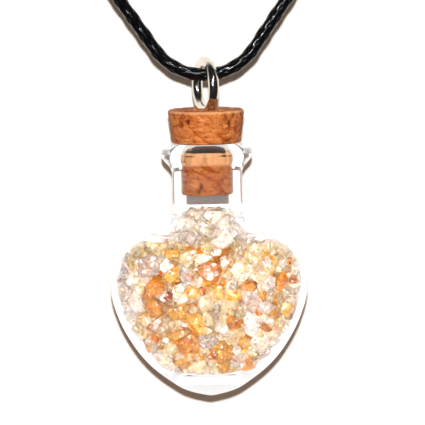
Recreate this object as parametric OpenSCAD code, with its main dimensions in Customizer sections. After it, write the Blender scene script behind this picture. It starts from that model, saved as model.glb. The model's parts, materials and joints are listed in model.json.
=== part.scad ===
// Heart-shaped glass bottle, corked and filled with stone chips, hanging on a waxed cord.
// X runs across the front, Y from the front to the back, and Z is up.
// The origin is the middle of the clasp at the nape, from which the whole necklace hangs.

/* [Cord] */
// Length round the whole loop, the clasp included
loop_length = 450; // [400:5:600]
// Diameter of the waxed cord
cord_d = 1.5; // [1:0.1:1.8]
// Radius of the cord's bend in the ring, to its centreline
bend_r = 6.7; // [5.5:0.1:9]
// Lean of the cord's two legs from the vertical, in degrees
leg_lean = 34.5; // [28:0.5:40]

/* [Clasp] */
// Length of the barrel clasp
clasp_length = 14; // [11:0.5:20]
// Diameter of the barrel clasp
clasp_d = 4; // [3.2:0.1:5]
// Depth of the blind bore that takes each end of the cord
clasp_bore_depth = 4; // [3:0.1:4.5]
// Rounding of the barrel's two rims
clasp_round = 0.6; // [0.2:0.1:0.7]
// Width of the groove round the barrel's middle
clasp_groove_w = 0.5; // [0.3:0.1:1]
// Depth of the groove round the barrel's middle
clasp_groove_depth = 0.25; // [0.1:0.05:0.4]

/* [Screw eye] */
// Inner diameter of the ring
eye_hole_d = 4.2; // [3.6:0.1:6]
// Diameter of the ring's wire
eye_wire_d = 1.2; // [0.9:0.05:1.5]
// Turn of the ring's right side towards the front, in degrees
eye_turn = 70; // [0:5:90]
// Depth of the wire's centre below the cork's top face
eye_sunk = 0.1; // [0:0.05:0.4]
// Length of the screw below the ring's wire, its point included
screw_length = 6; // [4:0.5:8]
// Diameter of the screw over its thread
screw_d = 1.4; // [1.1:0.1:1.8]
// Diameter of the screw's core
screw_core_d = 0.9; // [0.7:0.05:1]
// Spacing of the thread
thread_pitch = 0.8; // [0.6:0.1:1.2]
// Length of the screw's point
screw_point = 1.2; // [0.8:0.1:1.6]

/* [Cork] */
// Diameter of the cork's top face
cork_top_d = 8.6; // [7.8:0.1:10]
// Diameter of the cork where it meets the lip
cork_lip_d = 7.7; // [7:0.1:8.5]
// Height of the cork that stands above the lip
cork_above_lip = 3.75; // [3:0.05:6]
// Length of the cork inside the neck, below the lip's top
cork_in_neck = 5.8; // [4.5:0.1:6.5]
// Bevel of the cork's top and bottom rims
cork_bevel = 0.2; // [0.1:0.05:0.4]

/* [Bottle] */
// Width of the heart
heart_w = 22.1; // [20:0.1:26]
// Depth of the heart from front to back
heart_depth = 11.5; // [10.5:0.1:14]
// Height of the heart from its tip to the top of its lobes
heart_h = 18.6; // [17:0.1:22]
// Height of the flare from the lobes' tops to the straight neck
flare_h = 2.2; // [1.8:0.1:3]
// Height of the straight neck
neck_h = 4.5; // [4:0.1:6]
// Outer diameter of the neck
neck_d = 7.9; // [7.4:0.1:8.6]
// Diameter of the neck's bore
bore_d = 6; // [5.4:0.1:6.4]
// Height of the lip's bead
lip_h = 3.4; // [2.8:0.1:4]
// Outer diameter of the lip's bead
lip_d = 10.2; // [9.6:0.1:11.5]
// Rounding of the mouth's inner edge
mouth_round = 0.8; // [0.5:0.1:1]
// Thickness of the glass at the heart's sides
side_wall = 0.6; // [0.5:0.05:0.9]
// Thickness of the glass at the heart's front and back
face_wall = 0.85; // [0.6:0.05:1.1]
// Thickness of the glass over the lobes
lobe_wall = 0.65; // [0.6:0.05:1.1]
// Thickness of the clear base above the tip
base_h = 2.6; // [2.2:0.1:3]

/* [Chips] */
// Spacing of the chips' centres
chip_spacing = 2.1; // [2.1:0.05:2.6]
// Share of the chips that is citrine
citrine_share = 0.28; // [0.15:0.01:0.5]
// Height of the chips' level above the straight neck's foot
chip_level = 0.5; // [-0.5:0.1:1]
// Number that picks one pile of chips
chip_seed = 11; // [1:1:99]

/* [Clearances] */
// Gap between the cord and the ring that rests on it
ring_gap = 0.1; // [0.05:0.01:0.2]
// Gap round the screw eye in the cork, the cork in the neck and the cord in the clasp
seat_gap = 0.05; // [0.03:0.01:0.08]
// Least gap between one chip and the next
chip_gap = 0.12; // [0.1:0.01:0.2]
// Least gap between a chip and the glass
wall_gap = 0.18; // [0.15:0.01:0.3]

/* [Hidden] */

$fn = 64;
tiny = 0.01;

// The loop lies in the XZ plane: a straight stretch in the clasp, a wide arc on each side of the
// nape, two straight legs and the tight bend in the ring, each tangent to the next.
clasp_half = clasp_length / 2;
top_turn = 90 + leg_lean;
bend_turn = 90 - leg_lean;
rad = PI / 180;
top_r = (loop_length / 2 - clasp_half * (1 + 1 / sin(leg_lean))
         + bend_r * (1 / tan(leg_lean) - bend_turn * rad)) / (1 / tan(leg_lean) + top_turn * rad);
leg_length = (clasp_half + (top_r - bend_r) * cos(leg_lean)) / sin(leg_lean);
bend_z = bend_r * sin(leg_lean) - top_r * (1 + sin(leg_lean)) - leg_length * cos(leg_lean);
cord_low_z = bend_z - bend_r;

// Heights of the pendant's pieces, from the cord down
eye_hole_r = eye_hole_d / 2;
eye_wire_r = eye_wire_d / 2;
eye_r = eye_hole_r + eye_wire_r;
eye_z = cord_low_z + cord_d / 2 + ring_gap - eye_hole_r;
cork_top_z = eye_z - eye_r + eye_sunk;
lip_top_z = cork_top_z - cork_above_lip;
bottle_h = heart_h + flare_h + neck_h + lip_h;
tip_z = lip_top_z - bottle_h;

// Levels of the bottle, measured up from its tip
neck_foot = heart_h + flare_h;
lip_foot = neck_foot + neck_h;
neck_r = neck_d / 2;
bore_r = bore_d / 2;
lip_r = lip_d / 2;
cork_bottom = bottle_h - cork_in_neck;

// Facets round the bottle, and how square its cross-section is from the tip to the neck
bottle_sides = 40;
heart_square = 2.3;
round_square = 2;

// Outer face of the heart from the tip to the lobes' shoulder.
// Columns: height as a share of heart_h, half-width of heart_w / 2, half-depth of heart_depth / 2
heart_rows = [
    [0.012, 0.090, 0.120],
    [0.028, 0.190, 0.240],
    [0.052, 0.292, 0.350],
    [0.088, 0.388, 0.465],
    [0.148, 0.525, 0.620],
    [0.209, 0.637, 0.735],
    [0.269, 0.723, 0.820],
    [0.330, 0.794, 0.885],
    [0.390, 0.854, 0.935],
    [0.452, 0.906, 0.970],
    [0.513, 0.946, 0.990],
    [0.580, 0.982, 1.000],
    [0.650, 1.000, 0.995],
    [0.720, 0.998, 0.980],
    [0.780, 0.986, 0.955],
    [0.830, 0.966, 0.930],
];
// Outer face from the lobes' shoulder to the neck.
// Columns: height at the sides and height at the front, where 0 is the shoulder, 1 the lobes' top
// and 2 the neck's foot; half-width and half-depth as shares of the way in to the neck's radius
shoulder_rows = [
    [0.336, 0.210, 0.070, 0.090],
    [0.526, 0.336, 0.115, 0.163],
    [0.700, 0.462, 0.204, 0.249],
    [0.873, 0.605, 0.323, 0.356],
    [1.000, 0.747, 0.472, 0.478],
    [0.975, 0.889, 0.606, 0.606],
    [0.940, 1.045, 0.725, 0.728],
    [1.070, 1.250, 0.829, 0.821],
    [1.320, 1.477, 0.903, 0.907],
    [1.640, 1.727, 0.963, 0.964],
];
// Inner face of the heart from the base to the lobes' shoulder.
// Columns: height as a share of the way from the base to the inner shoulder's level, half-width
// and half-depth as shares of the cavity's
cavity_rows = [
    [0.000, 0.330, 0.400],
    [0.010, 0.420, 0.540],
    [0.045, 0.505, 0.650],
    [0.110, 0.595, 0.750],
    [0.200, 0.690, 0.835],
    [0.310, 0.785, 0.905],
    [0.430, 0.870, 0.955],
    [0.560, 0.940, 0.985],
    [0.690, 0.985, 1.000],
    [0.810, 1.000, 0.990],
    [0.910, 0.990, 0.965],
    [1.000, 0.960, 0.935],
];
// Inner face from the lobes' shoulder to the bore, in the same columns as shoulder_rows
cavity_shoulder_rows = [
    [0.373, 0.243, 0.075, 0.082],
    [0.611, 0.438, 0.147, 0.146],
    [0.827, 0.632, 0.246, 0.228],
    [0.985, 0.805, 0.374, 0.335],
    [1.000, 0.978, 0.502, 0.449],
    [0.955, 1.115, 0.600, 0.550],
    [1.050, 1.246, 0.680, 0.640],
    [1.180, 1.393, 0.765, 0.735],
    [1.400, 1.574, 0.850, 0.830],
    [1.680, 1.770, 0.935, 0.925],
];
// Bead of the lip below its widest place.
// Columns: height as a share of lip_h, swell as a share of the way from the neck to the bead
lip_under_rows = [[0.00, 0.00], [0.14, 0.10], [0.28, 0.38], [0.42, 0.76], [0.55, 0.97]];
// Bead of the lip above that.
// Columns: height as a share of lip_h, swell as a share of the way from the mouth to the bead
lip_over_rows = [[0.66, 1.00], [0.80, 0.87], [0.91, 0.58], [0.98, 0.20]];
// Steps round the mouth's inner edge
mouth_steps = 4;
// Degrees between the points of a rounding on a turned piece
round_step = 15;

heart_a = heart_w / 2;
heart_b = heart_depth / 2;
cavity_a = heart_a - side_wall;
cavity_b = heart_b - face_wall;
mouth_r = bore_r + mouth_round;
shoulder_level = heart_rows[len(heart_rows) - 1][0] * heart_h;

// Each ring of the bottle's grid is [height at the sides, height at the front, half-width,
// half-depth, squareness]
function mix(a, b, share) = a + (b - a) * share;
function body_ring(row, low, high, a, b) =
    let (z = mix(low, high, row[0])) [z, z, row[1] * a, row[2] * b, heart_square];
function shoulder_z(share, lobe_top) = share <= 1
    ? mix(shoulder_level, lobe_top, share) : mix(lobe_top, neck_foot, share - 1);
function shoulder_ring(row, lobe_top, a, b, r) = [
    shoulder_z(row[0], lobe_top), shoulder_z(row[1], lobe_top),
    mix(a, r, row[2]), mix(b, r, row[3]), mix(heart_square, round_square, row[2])];
function round_ring(z, r) = [z, z, r, r, round_square];

function last_a(rows, a) = rows[len(rows) - 1][1] * a;
function last_b(rows, b) = rows[len(rows) - 1][2] * b;

outer_rings = concat(
    [for (row = heart_rows) body_ring(row, 0, heart_h, heart_a, heart_b)],
    [for (row = shoulder_rows) shoulder_ring(row, heart_h,
        last_a(heart_rows, heart_a), last_b(heart_rows, heart_b), neck_r)],
    [round_ring(neck_foot, neck_r)],
    [for (row = lip_under_rows) round_ring(lip_foot + row[0] * lip_h,
        mix(neck_r, lip_r, row[1]))],
    [for (row = lip_over_rows) round_ring(lip_foot + row[0] * lip_h,
        mix(mouth_r, lip_r, row[1]))]);

mouth_rings = [for (step = [0 : mouth_steps]) let (turn = 90 * step / mouth_steps)
    round_ring(bottle_h - mouth_round * (1 - cos(turn)),
               mouth_r - mouth_round * sin(turn))];

// Rings of the cavity from its floor up to the foot of the straight bore
cavity_rings = concat(
    [for (row = cavity_rows) body_ring(row, base_h, shoulder_level, cavity_a, cavity_b)],
    [for (row = cavity_shoulder_rows) shoulder_ring(row, heart_h - lobe_wall,
        last_a(cavity_rows, cavity_a), last_b(cavity_rows, cavity_b), bore_r)],
    [round_ring(neck_foot, bore_r)]);

function reversed(list) = [for (i = [len(list) - 1 : -1 : 0]) list[i]];
bottle_rings = concat(outer_rings, mouth_rings, reversed(cavity_rings));

function signed_power(value, power) = sign(value) * pow(abs(value), power);
function ring_points(ring) = [for (i = [0 : bottle_sides - 1])
    let (turn = 360 * i / bottle_sides, power = 2 / ring[4], c = cos(turn))
    [ring[2] * signed_power(c, power), ring[3] * signed_power(sin(turn), power),
     mix(ring[1], ring[0], c * c)]];

// A closed skin through rings of points, from a point below the first to a point by the last
function skin_faces(count, sides) = concat(
    [for (i = [0 : sides - 1]) [0, 1 + i, 1 + (i + 1) % sides]],
    [for (k = [0 : count - 2], i = [0 : sides - 1]) let (j = (i + 1) % sides, low = 1 + k * sides)
        [low + i, low + sides + i, low + sides + j, low + j]],
    [for (i = [0 : sides - 1]) let (low = 1 + (count - 1) * sides)
        [low + (i + 1) % sides, low + i, 1 + count * sides]]);

// Stations of the cord's right half, from its end in the clasp round to the bottom of the bend.
// Each is [x, z, degrees turned from a heading along +X]
top_steps = 20;
bend_steps = 6;
cord_half_route = concat(
    [[clasp_half - clasp_bore_depth + seat_gap, 0, 0]],
    [for (step = [0 : top_steps]) let (turn = top_turn * step / top_steps)
        [clasp_half + top_r * sin(turn), top_r * (cos(turn) - 1), turn]],
    [for (step = [0 : bend_steps]) let (turn = mix(top_turn, 180, step / bend_steps))
        [bend_r * sin(turn), bend_z + bend_r * cos(turn), turn]]);
cord_route = concat(cord_half_route,
    [for (i = [len(cord_half_route) - 2 : -1 : 0]) let (station = cord_half_route[i])
        [-station[0], station[1], 360 - station[2]]]);
cord_sides = 12;
function cord_ring(station) = [for (i = [0 : cord_sides - 1]) let (turn = 360 * i / cord_sides)
    [station[0] + cord_d / 2 * cos(turn) * sin(station[2]), -cord_d / 2 * sin(turn),
     station[1] + cord_d / 2 * cos(turn) * cos(station[2])]];
function cord_end(station) = [station[0], 0, station[1]];

// The whole loop of cord, whose two ends stand in the clasp
module neck_cord() {
    last = len(cord_route) - 1;
    color("black") polyhedron(
        points = concat([cord_end(cord_route[0])],
                        [for (station = cord_route) each cord_ring(station)],
                        [cord_end(cord_route[last])]),
        faces = skin_faces(last + 1, cord_sides), convexity = 6);
}

// Half of the barrel's outline, from the middle of its groove to its end
function barrel_half() = concat(
    [[0, 0], [clasp_d / 2 - clasp_groove_depth, 0],
     [clasp_d / 2 - clasp_groove_depth, clasp_groove_w / 2],
     [clasp_d / 2, clasp_groove_w / 2 + clasp_groove_depth]],
    [for (turn = [0 : round_step : 90]) [clasp_d / 2 - clasp_round * (1 - cos(turn)),
                                 clasp_half - clasp_round * (1 - sin(turn))]],
    [[0, clasp_half]]);

// The plain barrel clasp at the nape, with a blind bore in each end
module barrel_clasp() {
    color("silver") for (side = [0, 1]) mirror([side, 0, 0]) rotate([0, 90, 0]) difference() {
        rotate_extrude() polygon(barrel_half());
        translate([0, 0, clasp_half - clasp_bore_depth])
            cylinder(d = cord_d + 2 * seat_gap, h = clasp_bore_depth + tiny);
    }
}

// The screw's outline with its thread as a row of crests, as much wider as the given gap
function screw_outline(gap) =
    let (core = screw_core_d / 2 + gap, crest = screw_d / 2 + gap,
         turns = floor((screw_length - screw_point - eye_wire_r) / thread_pitch))
    concat(
        [[0, 0], [core, 0], [core, -eye_wire_r]],
        [for (i = [0 : turns - 1], corner = [[0.25, 0], [0.5, 1], [0.75, 0]])
            [mix(core, crest, corner[1]), -eye_wire_r - (i + corner[0]) * thread_pitch]],
        [[core, screw_point - screw_length - gap], [0, -screw_length - gap]]);

module eye_form(gap) {
    translate([0, 0, eye_z]) rotate([0, 0, -eye_turn]) rotate([90, 0, 0])
        rotate_extrude() translate([eye_r, 0]) circle(r = eye_wire_r + gap);
    translate([0, 0, eye_z - eye_r]) rotate_extrude() polygon(screw_outline(gap));
}

// The polished screw eye whose ring hangs on the cord
module screw_eye() {
    color("lightgray") eye_form(0);
}

// The cork: a taper above the lip, a shoulder over the mouth's rounding and a plug in the neck
module cork_stopper() {
    plug_r = bore_r - seat_gap;
    seat_r = mouth_round + seat_gap;
    color("peru") difference() {
        translate([0, 0, tip_z]) rotate_extrude() polygon(concat(
            [[0, cork_bottom], [plug_r - cork_bevel, cork_bottom],
             [plug_r, cork_bottom + cork_bevel]],
            [for (turn = [90 : -round_step : 0]) if (turn > 0)
                [mouth_r - seat_r * sin(turn),
                 bottle_h - mouth_round + seat_r * cos(turn)]],
            [[cork_lip_d / 2, bottle_h + seat_gap],
             [cork_top_d / 2, bottle_h + cork_above_lip - cork_bevel],
             [cork_top_d / 2 - cork_bevel, bottle_h + cork_above_lip],
             [0, bottle_h + cork_above_lip]]));
        eye_form(seat_gap);
    }
}

// The blown bottle, one skin from the tip up over the lip and down the bore to the base
module glass_bottle() {
    count = len(bottle_rings);
    color("lightcyan", 0.35) translate([0, 0, tip_z]) polyhedron(
        points = concat([[0, 0, 0]], [for (ring = bottle_rings) each ring_points(ring)],
                        [[0, 0, base_h]]),
        faces = skin_faces(count, bottle_sides), convexity = 8);
}

// The cavity's half-width, half-depth and squareness at a height above the tip
cavity_a_rows = [for (ring = cavity_rings) [ring[0], ring[2]]];
cavity_b_rows = [for (ring = cavity_rings) [ring[1], ring[3]]];
cavity_square_rows = [for (ring = cavity_rings) [ring[1], ring[4]]];

// Whether a point, measured from the tip, lies in the cavity at least a margin from the glass
function in_section(point, height, margin) =
    let (a = lookup(height, cavity_a_rows) - margin, b = lookup(height, cavity_b_rows) - margin,
         power = lookup(height, cavity_square_rows))
    a > 0 && b > 0 && pow(abs(point[0]) / a, power) + pow(abs(point[1]) / b, power) <= 1;
function in_cavity(point, margin) =
    point[2] > base_h + margin && point[2] < chip_top
    && in_section(point, point[2], margin) && in_section(point, point[2] - margin, margin / 2)
    && in_section(point, point[2] + margin, margin / 2);

// Chips: each has a cell of a close-packed lattice, a rhombic dodecahedron, to itself. Its centre
// is shifted a little, and its fourteen corners are drawn in by numbers of its own and by the glass
chip_step = chip_spacing / sqrt(2);
chip_shift = chip_spacing * 0.03;
chip_fill = 1 - (2 * chip_shift + chip_gap) / chip_spacing;
chip_top = neck_foot + chip_level;
chip_draw = [0.62, 0.75];
chip_clear_of_wall = 0.33 * chip_spacing;
least_reach = 0.3;
reach_step = 0.04;
// Random numbers of a chip: three for its shift, fourteen for its corners, one for its kind
chip_numbers = 18;
cell_seeds = [7, 131, 1373];

axes = [[1, 0, 0], [0, 1, 0], [0, 0, 1]];
chip_corners = concat([for (axis = axes) each [axis, -axis]],
    [for (z = [-0.5, 0.5], y = [-0.5, 0.5], x = [-0.5, 0.5]) [x, y, z]]);
function far_corner(p, up_p, q, up_q, r, up_r) =
    6 + (up_p ? pow(2, p) : 0) + (up_q ? pow(2, q) : 0) + (up_r ? pow(2, r) : 0);
chip_faces = [for (p = [0 : 2], up_p = [false, true], up_q = [false, true])
    let (q = (p + 1) % 3, r = (p + 2) % 3, first = 2 * p + (up_p ? 0 : 1),
         second = 2 * q + (up_q ? 0 : 1),
         high = far_corner(p, up_p, q, up_q, r, true), low = far_corner(p, up_p, q, up_q, r, false))
    each up_p == up_q ? [[first, high, low], [second, low, high]]
                      : [[first, low, high], [second, high, low]]];

function chip_random(place) = rands(0, 1, chip_numbers, chip_seed + place * cell_seeds);
function chip_centre(place, random) = place * chip_step
    + chip_shift * [random[0] - 0.5, random[1] - 0.5, random[2] - 0.5] * 2 / sqrt(3);
function held_reach(point, corner, reach) =
    reach < least_reach || in_cavity(point + corner * reach * chip_step, wall_gap)
    ? reach : held_reach(point, corner, reach - reach_step);
function chip_points(point, random) = [for (i = [0 : 13])
    let (corner = chip_corners[i],
         reach = chip_fill * mix(chip_draw[i < 6 ? 0 : 1], 1, random[i + 3]))
    point + corner * held_reach(point, corner, reach) * chip_step];

module chips(citrine) {
    reach_x = ceil(cavity_a / chip_step);
    reach_y = ceil(cavity_b / chip_step);
    reach_z = ceil(chip_top / chip_step);
    translate([0, 0, tip_z])
        for (i = [-reach_x : reach_x], j = [-reach_y : reach_y], k = [0 : reach_z])
            if ((i + j + k) % 2 == 0) {
                random = chip_random([i, j, k]);
                point = chip_centre([i, j, k], random);
                if (in_cavity(point, chip_clear_of_wall) && (random[17] < citrine_share) == citrine)
                    polyhedron(chip_points(point, random), chip_faces);
            }
}

// Milky and clear quartz chips
module quartz_chips() {
    color("mistyrose") chips(false);
}

// Amber citrine chips
module citrine_chips() {
    color("orange") chips(true);
}

neck_cord();
barrel_clasp();
screw_eye();
cork_stopper();
glass_bottle();
quartz_chips();
citrine_chips();
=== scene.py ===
"""Looks of a corked heart bottle full of stone chips, which hangs on a waxed cord.

Sizes in the classes are millimetres, angles are degrees where a name says so, and a mesh turns
both into the frame's metres. X runs across the front, Y from the front to the back, Z is up, and
the origin is the middle of the clasp at the nape. Heights in the bottle's tables are measured up
from its tip.
"""

from __future__ import annotations

import json
import logging
import math
from dataclasses import dataclass, field, replace
from enum import Enum
from itertools import combinations
from typing import Any, Sequence

import bmesh
import bpy
import numpy as np
from mathutils import Euler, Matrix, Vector

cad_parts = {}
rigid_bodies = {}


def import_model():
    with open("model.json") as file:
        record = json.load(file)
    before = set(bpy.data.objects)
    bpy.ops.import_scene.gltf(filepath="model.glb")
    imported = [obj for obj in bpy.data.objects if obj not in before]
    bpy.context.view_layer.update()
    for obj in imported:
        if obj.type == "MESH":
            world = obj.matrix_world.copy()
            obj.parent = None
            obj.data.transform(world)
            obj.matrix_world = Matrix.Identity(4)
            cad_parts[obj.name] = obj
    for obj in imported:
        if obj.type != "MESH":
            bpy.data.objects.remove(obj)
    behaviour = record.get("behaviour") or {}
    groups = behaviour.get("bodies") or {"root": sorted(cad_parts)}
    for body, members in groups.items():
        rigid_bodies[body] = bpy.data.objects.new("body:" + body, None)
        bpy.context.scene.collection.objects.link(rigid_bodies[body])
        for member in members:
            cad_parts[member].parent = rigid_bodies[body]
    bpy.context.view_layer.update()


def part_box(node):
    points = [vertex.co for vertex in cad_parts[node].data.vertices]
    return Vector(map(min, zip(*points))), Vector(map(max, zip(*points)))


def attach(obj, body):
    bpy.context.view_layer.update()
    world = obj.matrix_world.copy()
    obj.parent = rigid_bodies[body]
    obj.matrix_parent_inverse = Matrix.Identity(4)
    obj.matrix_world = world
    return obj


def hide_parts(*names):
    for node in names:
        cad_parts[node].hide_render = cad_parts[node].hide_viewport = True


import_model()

log = logging.getLogger("pendant")

MM = 0.001
Rows = Sequence[Sequence[float]]
Stops = Sequence[tuple[float, str]]


class Body(Enum):
    """The bodies that a piece can ride on."""

    CORD = "cord"
    PENDANT = "pendant"


class Slot(Enum):
    """The record's material slots."""

    COTTON = "waxed_cotton"
    CLASP = "clasp_metal"
    NICKEL = "nickel"
    CORK = "cork"
    GLASS = "clear_glass"
    QUARTZ = "quartz"
    CITRINE = "citrine"


# Colour and nodes


def linear(hex_colour: str) -> tuple[float, float, float, float]:
    """Turns an sRGB hex colour into the linear colour that shaders take.

    Args:
        hex_colour: Six hex digits after a hash sign.

    Returns:
        Linear red, green and blue, and an alpha of 1.
    """
    shares = [int(hex_colour[i : i + 2], 16) / 255 for i in (1, 3, 5)]
    return (*[c / 12.92 if c <= 0.04045 else ((c + 0.055) / 1.055) ** 2.4 for c in shares], 1.0)


def add_node(
    tree: bpy.types.NodeTree,
    kind: str,
    inputs: dict[str | int, Any] | Sequence[Any] = (),
    stops: Stops = (),
    **settings: Any,
) -> bpy.types.Node:
    """Adds a shader node, with its settings, values and links.

    Args:
        tree: The node tree that takes the node.
        kind: The node's type without its first word, such as "TexNoise".
        inputs: What goes into each input, by its name or number or in their order: a value, an
            output socket, or a node, which stands for the first of its outputs that is in use.
        stops: Place from 0 to 1 and hex colour of each stop of a colour ramp, in order.
        settings: Values of the node's own properties.

    Returns:
        The new node.
    """
    node = tree.nodes.new("ShaderNode" + kind)
    for name, value in settings.items():
        setattr(node, name, value)
    if stops:
        elements = node.color_ramp.elements
        while len(elements) < len(stops):
            elements.new(1.0)
        for element, (place, colour) in zip(elements, stops):
            element.position, element.color = place, linear(colour)
    for key, value in inputs.items() if isinstance(inputs, dict) else enumerate(inputs):
        if isinstance(value, bpy.types.Node):
            value = next(socket for socket in value.outputs if socket.enabled)
        if isinstance(value, bpy.types.NodeSocket):
            tree.links.new(value, node.inputs[key])
        else:
            node.inputs[key].default_value = value
    return node


def new_material(name: str) -> tuple[bpy.types.Material, bpy.types.NodeTree]:
    """Makes a material without nodes, whose glow, if it gets one, is no lamp.

    Args:
        name: The material's name.

    Returns:
        The material and its node tree.
    """
    material = bpy.data.materials.new(name)
    material.use_nodes = True
    material.node_tree.nodes.clear()
    material.cycles.emission_sampling = "NONE"
    return material, material.node_tree


def trapped(
    tree: bpy.types.NodeTree, shader: bpy.types.Node, glow: Any, bounces: float
) -> bpy.types.Node:
    """Ends the rays that are trapped in a clear piece on a painted glow, an emission in place of their
    light.

    Args:
        tree: The material's nodes.
        shader: The shader of all other rays.
        glow: Colour of the painted glow.
        bounces: Number of bounces past which a ray is trapped.

    Returns:
        The whole shader.
    """
    depth = add_node(tree, "LightPath").outputs["Ray Depth"]
    long = add_node(tree, "Math", [depth, bounces], operation="GREATER_THAN")
    return add_node(tree, "MixShader", [long, shader, add_node(tree, "Emission", [glow])])


# Numbers, grids and meshes


def signed_power(value: np.ndarray, power: np.ndarray | float) -> np.ndarray:
    """sign(value) * |value| ** power, which rounds or squares off a circle."""
    return np.sign(value) * np.abs(value) ** power


def monotone(rows: np.ndarray, steps: int) -> np.ndarray:
    """Puts a smooth curve through rows of numbers, with no swing past any of them.

    Each column is a cubic Hermite curve over the chord length u from row to row. Its slope at a
    row is the harmonic mean of the two chords' slopes where they agree in sign, and 0 elsewhere.

    Args:
        rows: One row for each point, one column for each quantity.
        steps: Number of new rows for each old interval.

    Returns:
        The finer rows, from the first old row to the last.
    """
    chords = np.maximum(np.linalg.norm(np.diff(rows, axis=0), axis=1), 1e-6)[:, None]
    slopes = np.diff(rows, axis=0) / chords
    before, after = slopes[:-1], slopes[1:]
    agree = before * after > 0
    mean = np.where(agree, 2 * before * after / np.where(agree, before + after, 1), 0)
    ends = np.concatenate([slopes[:1], mean, slopes[-1:]])
    s = (np.arange(steps) / steps)[None, :, None]
    low, high = rows[:-1, None], rows[1:, None]
    pull_low, pull_high = (ends[:-1] * chords)[:, None], (ends[1:] * chords)[:, None]
    fine = (
        (2 * s**3 - 3 * s**2 + 1) * low
        + (s**3 - 2 * s**2 + s) * pull_low
        + (3 * s**2 - 2 * s**3) * high
        + (s**3 - s**2) * pull_high
    )
    return np.concatenate([fine.reshape(-1, rows.shape[1]), rows[-1:]])


def even_rows(line: np.ndarray, spacing: float) -> np.ndarray:
    """Places points along a line of points at an even spacing, its corners rounded by that much.

    Args:
        line: Points of the line, one row each.
        spacing: Distance between the new points.

    Returns:
        The new points, with both ends kept.
    """
    length = np.concatenate([[0], np.cumsum(np.linalg.norm(np.diff(line, axis=0), axis=1))])
    places = np.linspace(0, length[-1], max(2, round(length[-1] / spacing)) + 1)
    return np.stack([np.interp(places, length, column) for column in line.T], axis=1)


def lattice_noise(points: np.ndarray, cell: float, seed: int, size: int = 32) -> np.ndarray:
    """Smooth noise: random values at the corners of cubes, blended by 3 f**2 - 2 f**3.

    Args:
        points: Places, with x, y and z in the last axis.
        cell: Edge of a cube, in the places' unit.
        seed: Number that picks one noise.
        size: Number of cubes along an axis before the noise repeats.

    Returns:
        A value from -1 to 1 for each place.
    """
    values = np.random.default_rng(seed).uniform(-1, 1, (size, size, size))
    scaled = points / cell
    corner = np.floor(scaled).astype(int)
    share = scaled - corner
    share = share * share * (3 - 2 * share)
    total = np.zeros(points.shape[:-1])
    for up in np.ndindex(2, 2, 2):
        weight = np.prod(np.where(np.array(up) == 1, share, 1 - share), axis=-1)
        place = (corner + np.array(up)) % size
        total += weight * values[place[..., 0], place[..., 1], place[..., 2]]
    return total


def revolve(profile: np.ndarray, sides: int) -> np.ndarray:
    """Turns a profile of [radius, height] about Z: point = [r cos t, r sin t, z].

    Args:
        profile: Rows of radius and height.
        sides: Number of points round a turn.

    Returns:
        Rings of points, shaped rows, sides, 3.
    """
    turn = np.arange(sides) * math.tau / sides
    radius = profile[:, :1]
    level = np.broadcast_to(profile[:, 1:], (len(profile), sides))
    return np.stack([radius * np.cos(turn), radius * np.sin(turn), level], axis=-1)


def skin_mesh(name: str, rings: np.ndarray, closed: bool = False) -> bpy.types.Mesh:
    """Makes a mesh of quads through rings of points, which turn right-handed about their path.

    Args:
        name: The mesh's name.
        rings: Points in millimetres, shaped rings, sides, 3.
        closed: Whether the last ring meets the first. Otherwise each end gets a middle point.

    Returns:
        The mesh, smooth and in metres.
    """
    count, sides = rings.shape[:2]
    points = rings.reshape(-1, 3)
    i = np.arange(sides)
    j = (i + 1) % sides
    k = np.arange(count if closed else count - 1)[:, None]
    low, high = k * sides, (k + 1) % count * sides
    faces = np.stack([low + i, low + j, high + j, high + i], axis=-1).reshape(-1, 4).tolist()
    if not closed:
        points = np.concatenate([points, rings[[0, -1]].mean(axis=1)])
        last = (count - 1) * sides
        faces += np.stack([j, i, np.full(sides, count * sides)], axis=-1).tolist()
        faces += np.stack([last + i, last + j, np.full(sides, count * sides + 1)], axis=-1).tolist()
    mesh = bpy.data.meshes.new(name)
    mesh.from_pydata((points * MM).tolist(), [], faces)
    mesh.shade_smooth()
    return mesh


def set_point_values(mesh: bpy.types.Mesh, name: str, values: np.ndarray) -> None:
    """Writes one number for each point of a mesh, as an attribute that its material reads.

    Args:
        mesh: The mesh.
        name: The attribute's name.
        values: One number a point, or fewer where the last points are the ends' middles.
    """
    filled = np.zeros(len(mesh.vertices), np.float32)
    filled[: values.size] = values.ravel()
    mesh.attributes.new(name, "FLOAT", "POINT").data.foreach_set("value", filled)


def put_in_scene(name: str, data: bpy.types.ID) -> bpy.types.Object:
    """Adds an object of a mesh, a lamp or a camera to the scene.

    Args:
        name: The object's name.
        data: Its mesh, lamp or camera.

    Returns:
        The new object.
    """
    thing = bpy.data.objects.new(name, data)
    bpy.context.scene.collection.objects.link(thing)
    return thing


def place_piece(
    mesh: bpy.types.Mesh, material: bpy.types.Material, body: Body, node: str
) -> bpy.types.Object:
    """Adds a finished piece to the scene, in the place of the node that it stands for.

    Args:
        mesh: The piece's mesh, whose name the piece takes.
        material: The piece's material.
        body: The body that the piece rides on.
        node: The node that it replaces.

    Returns:
        The new object.
    """
    mesh.materials.clear()
    mesh.materials.append(material)
    piece = put_in_scene(mesh.name, mesh)
    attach(piece, body.value)
    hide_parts(node)
    log.info("%s: %d faces for %s", piece.name, len(mesh.polygons), node)
    return piece


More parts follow.
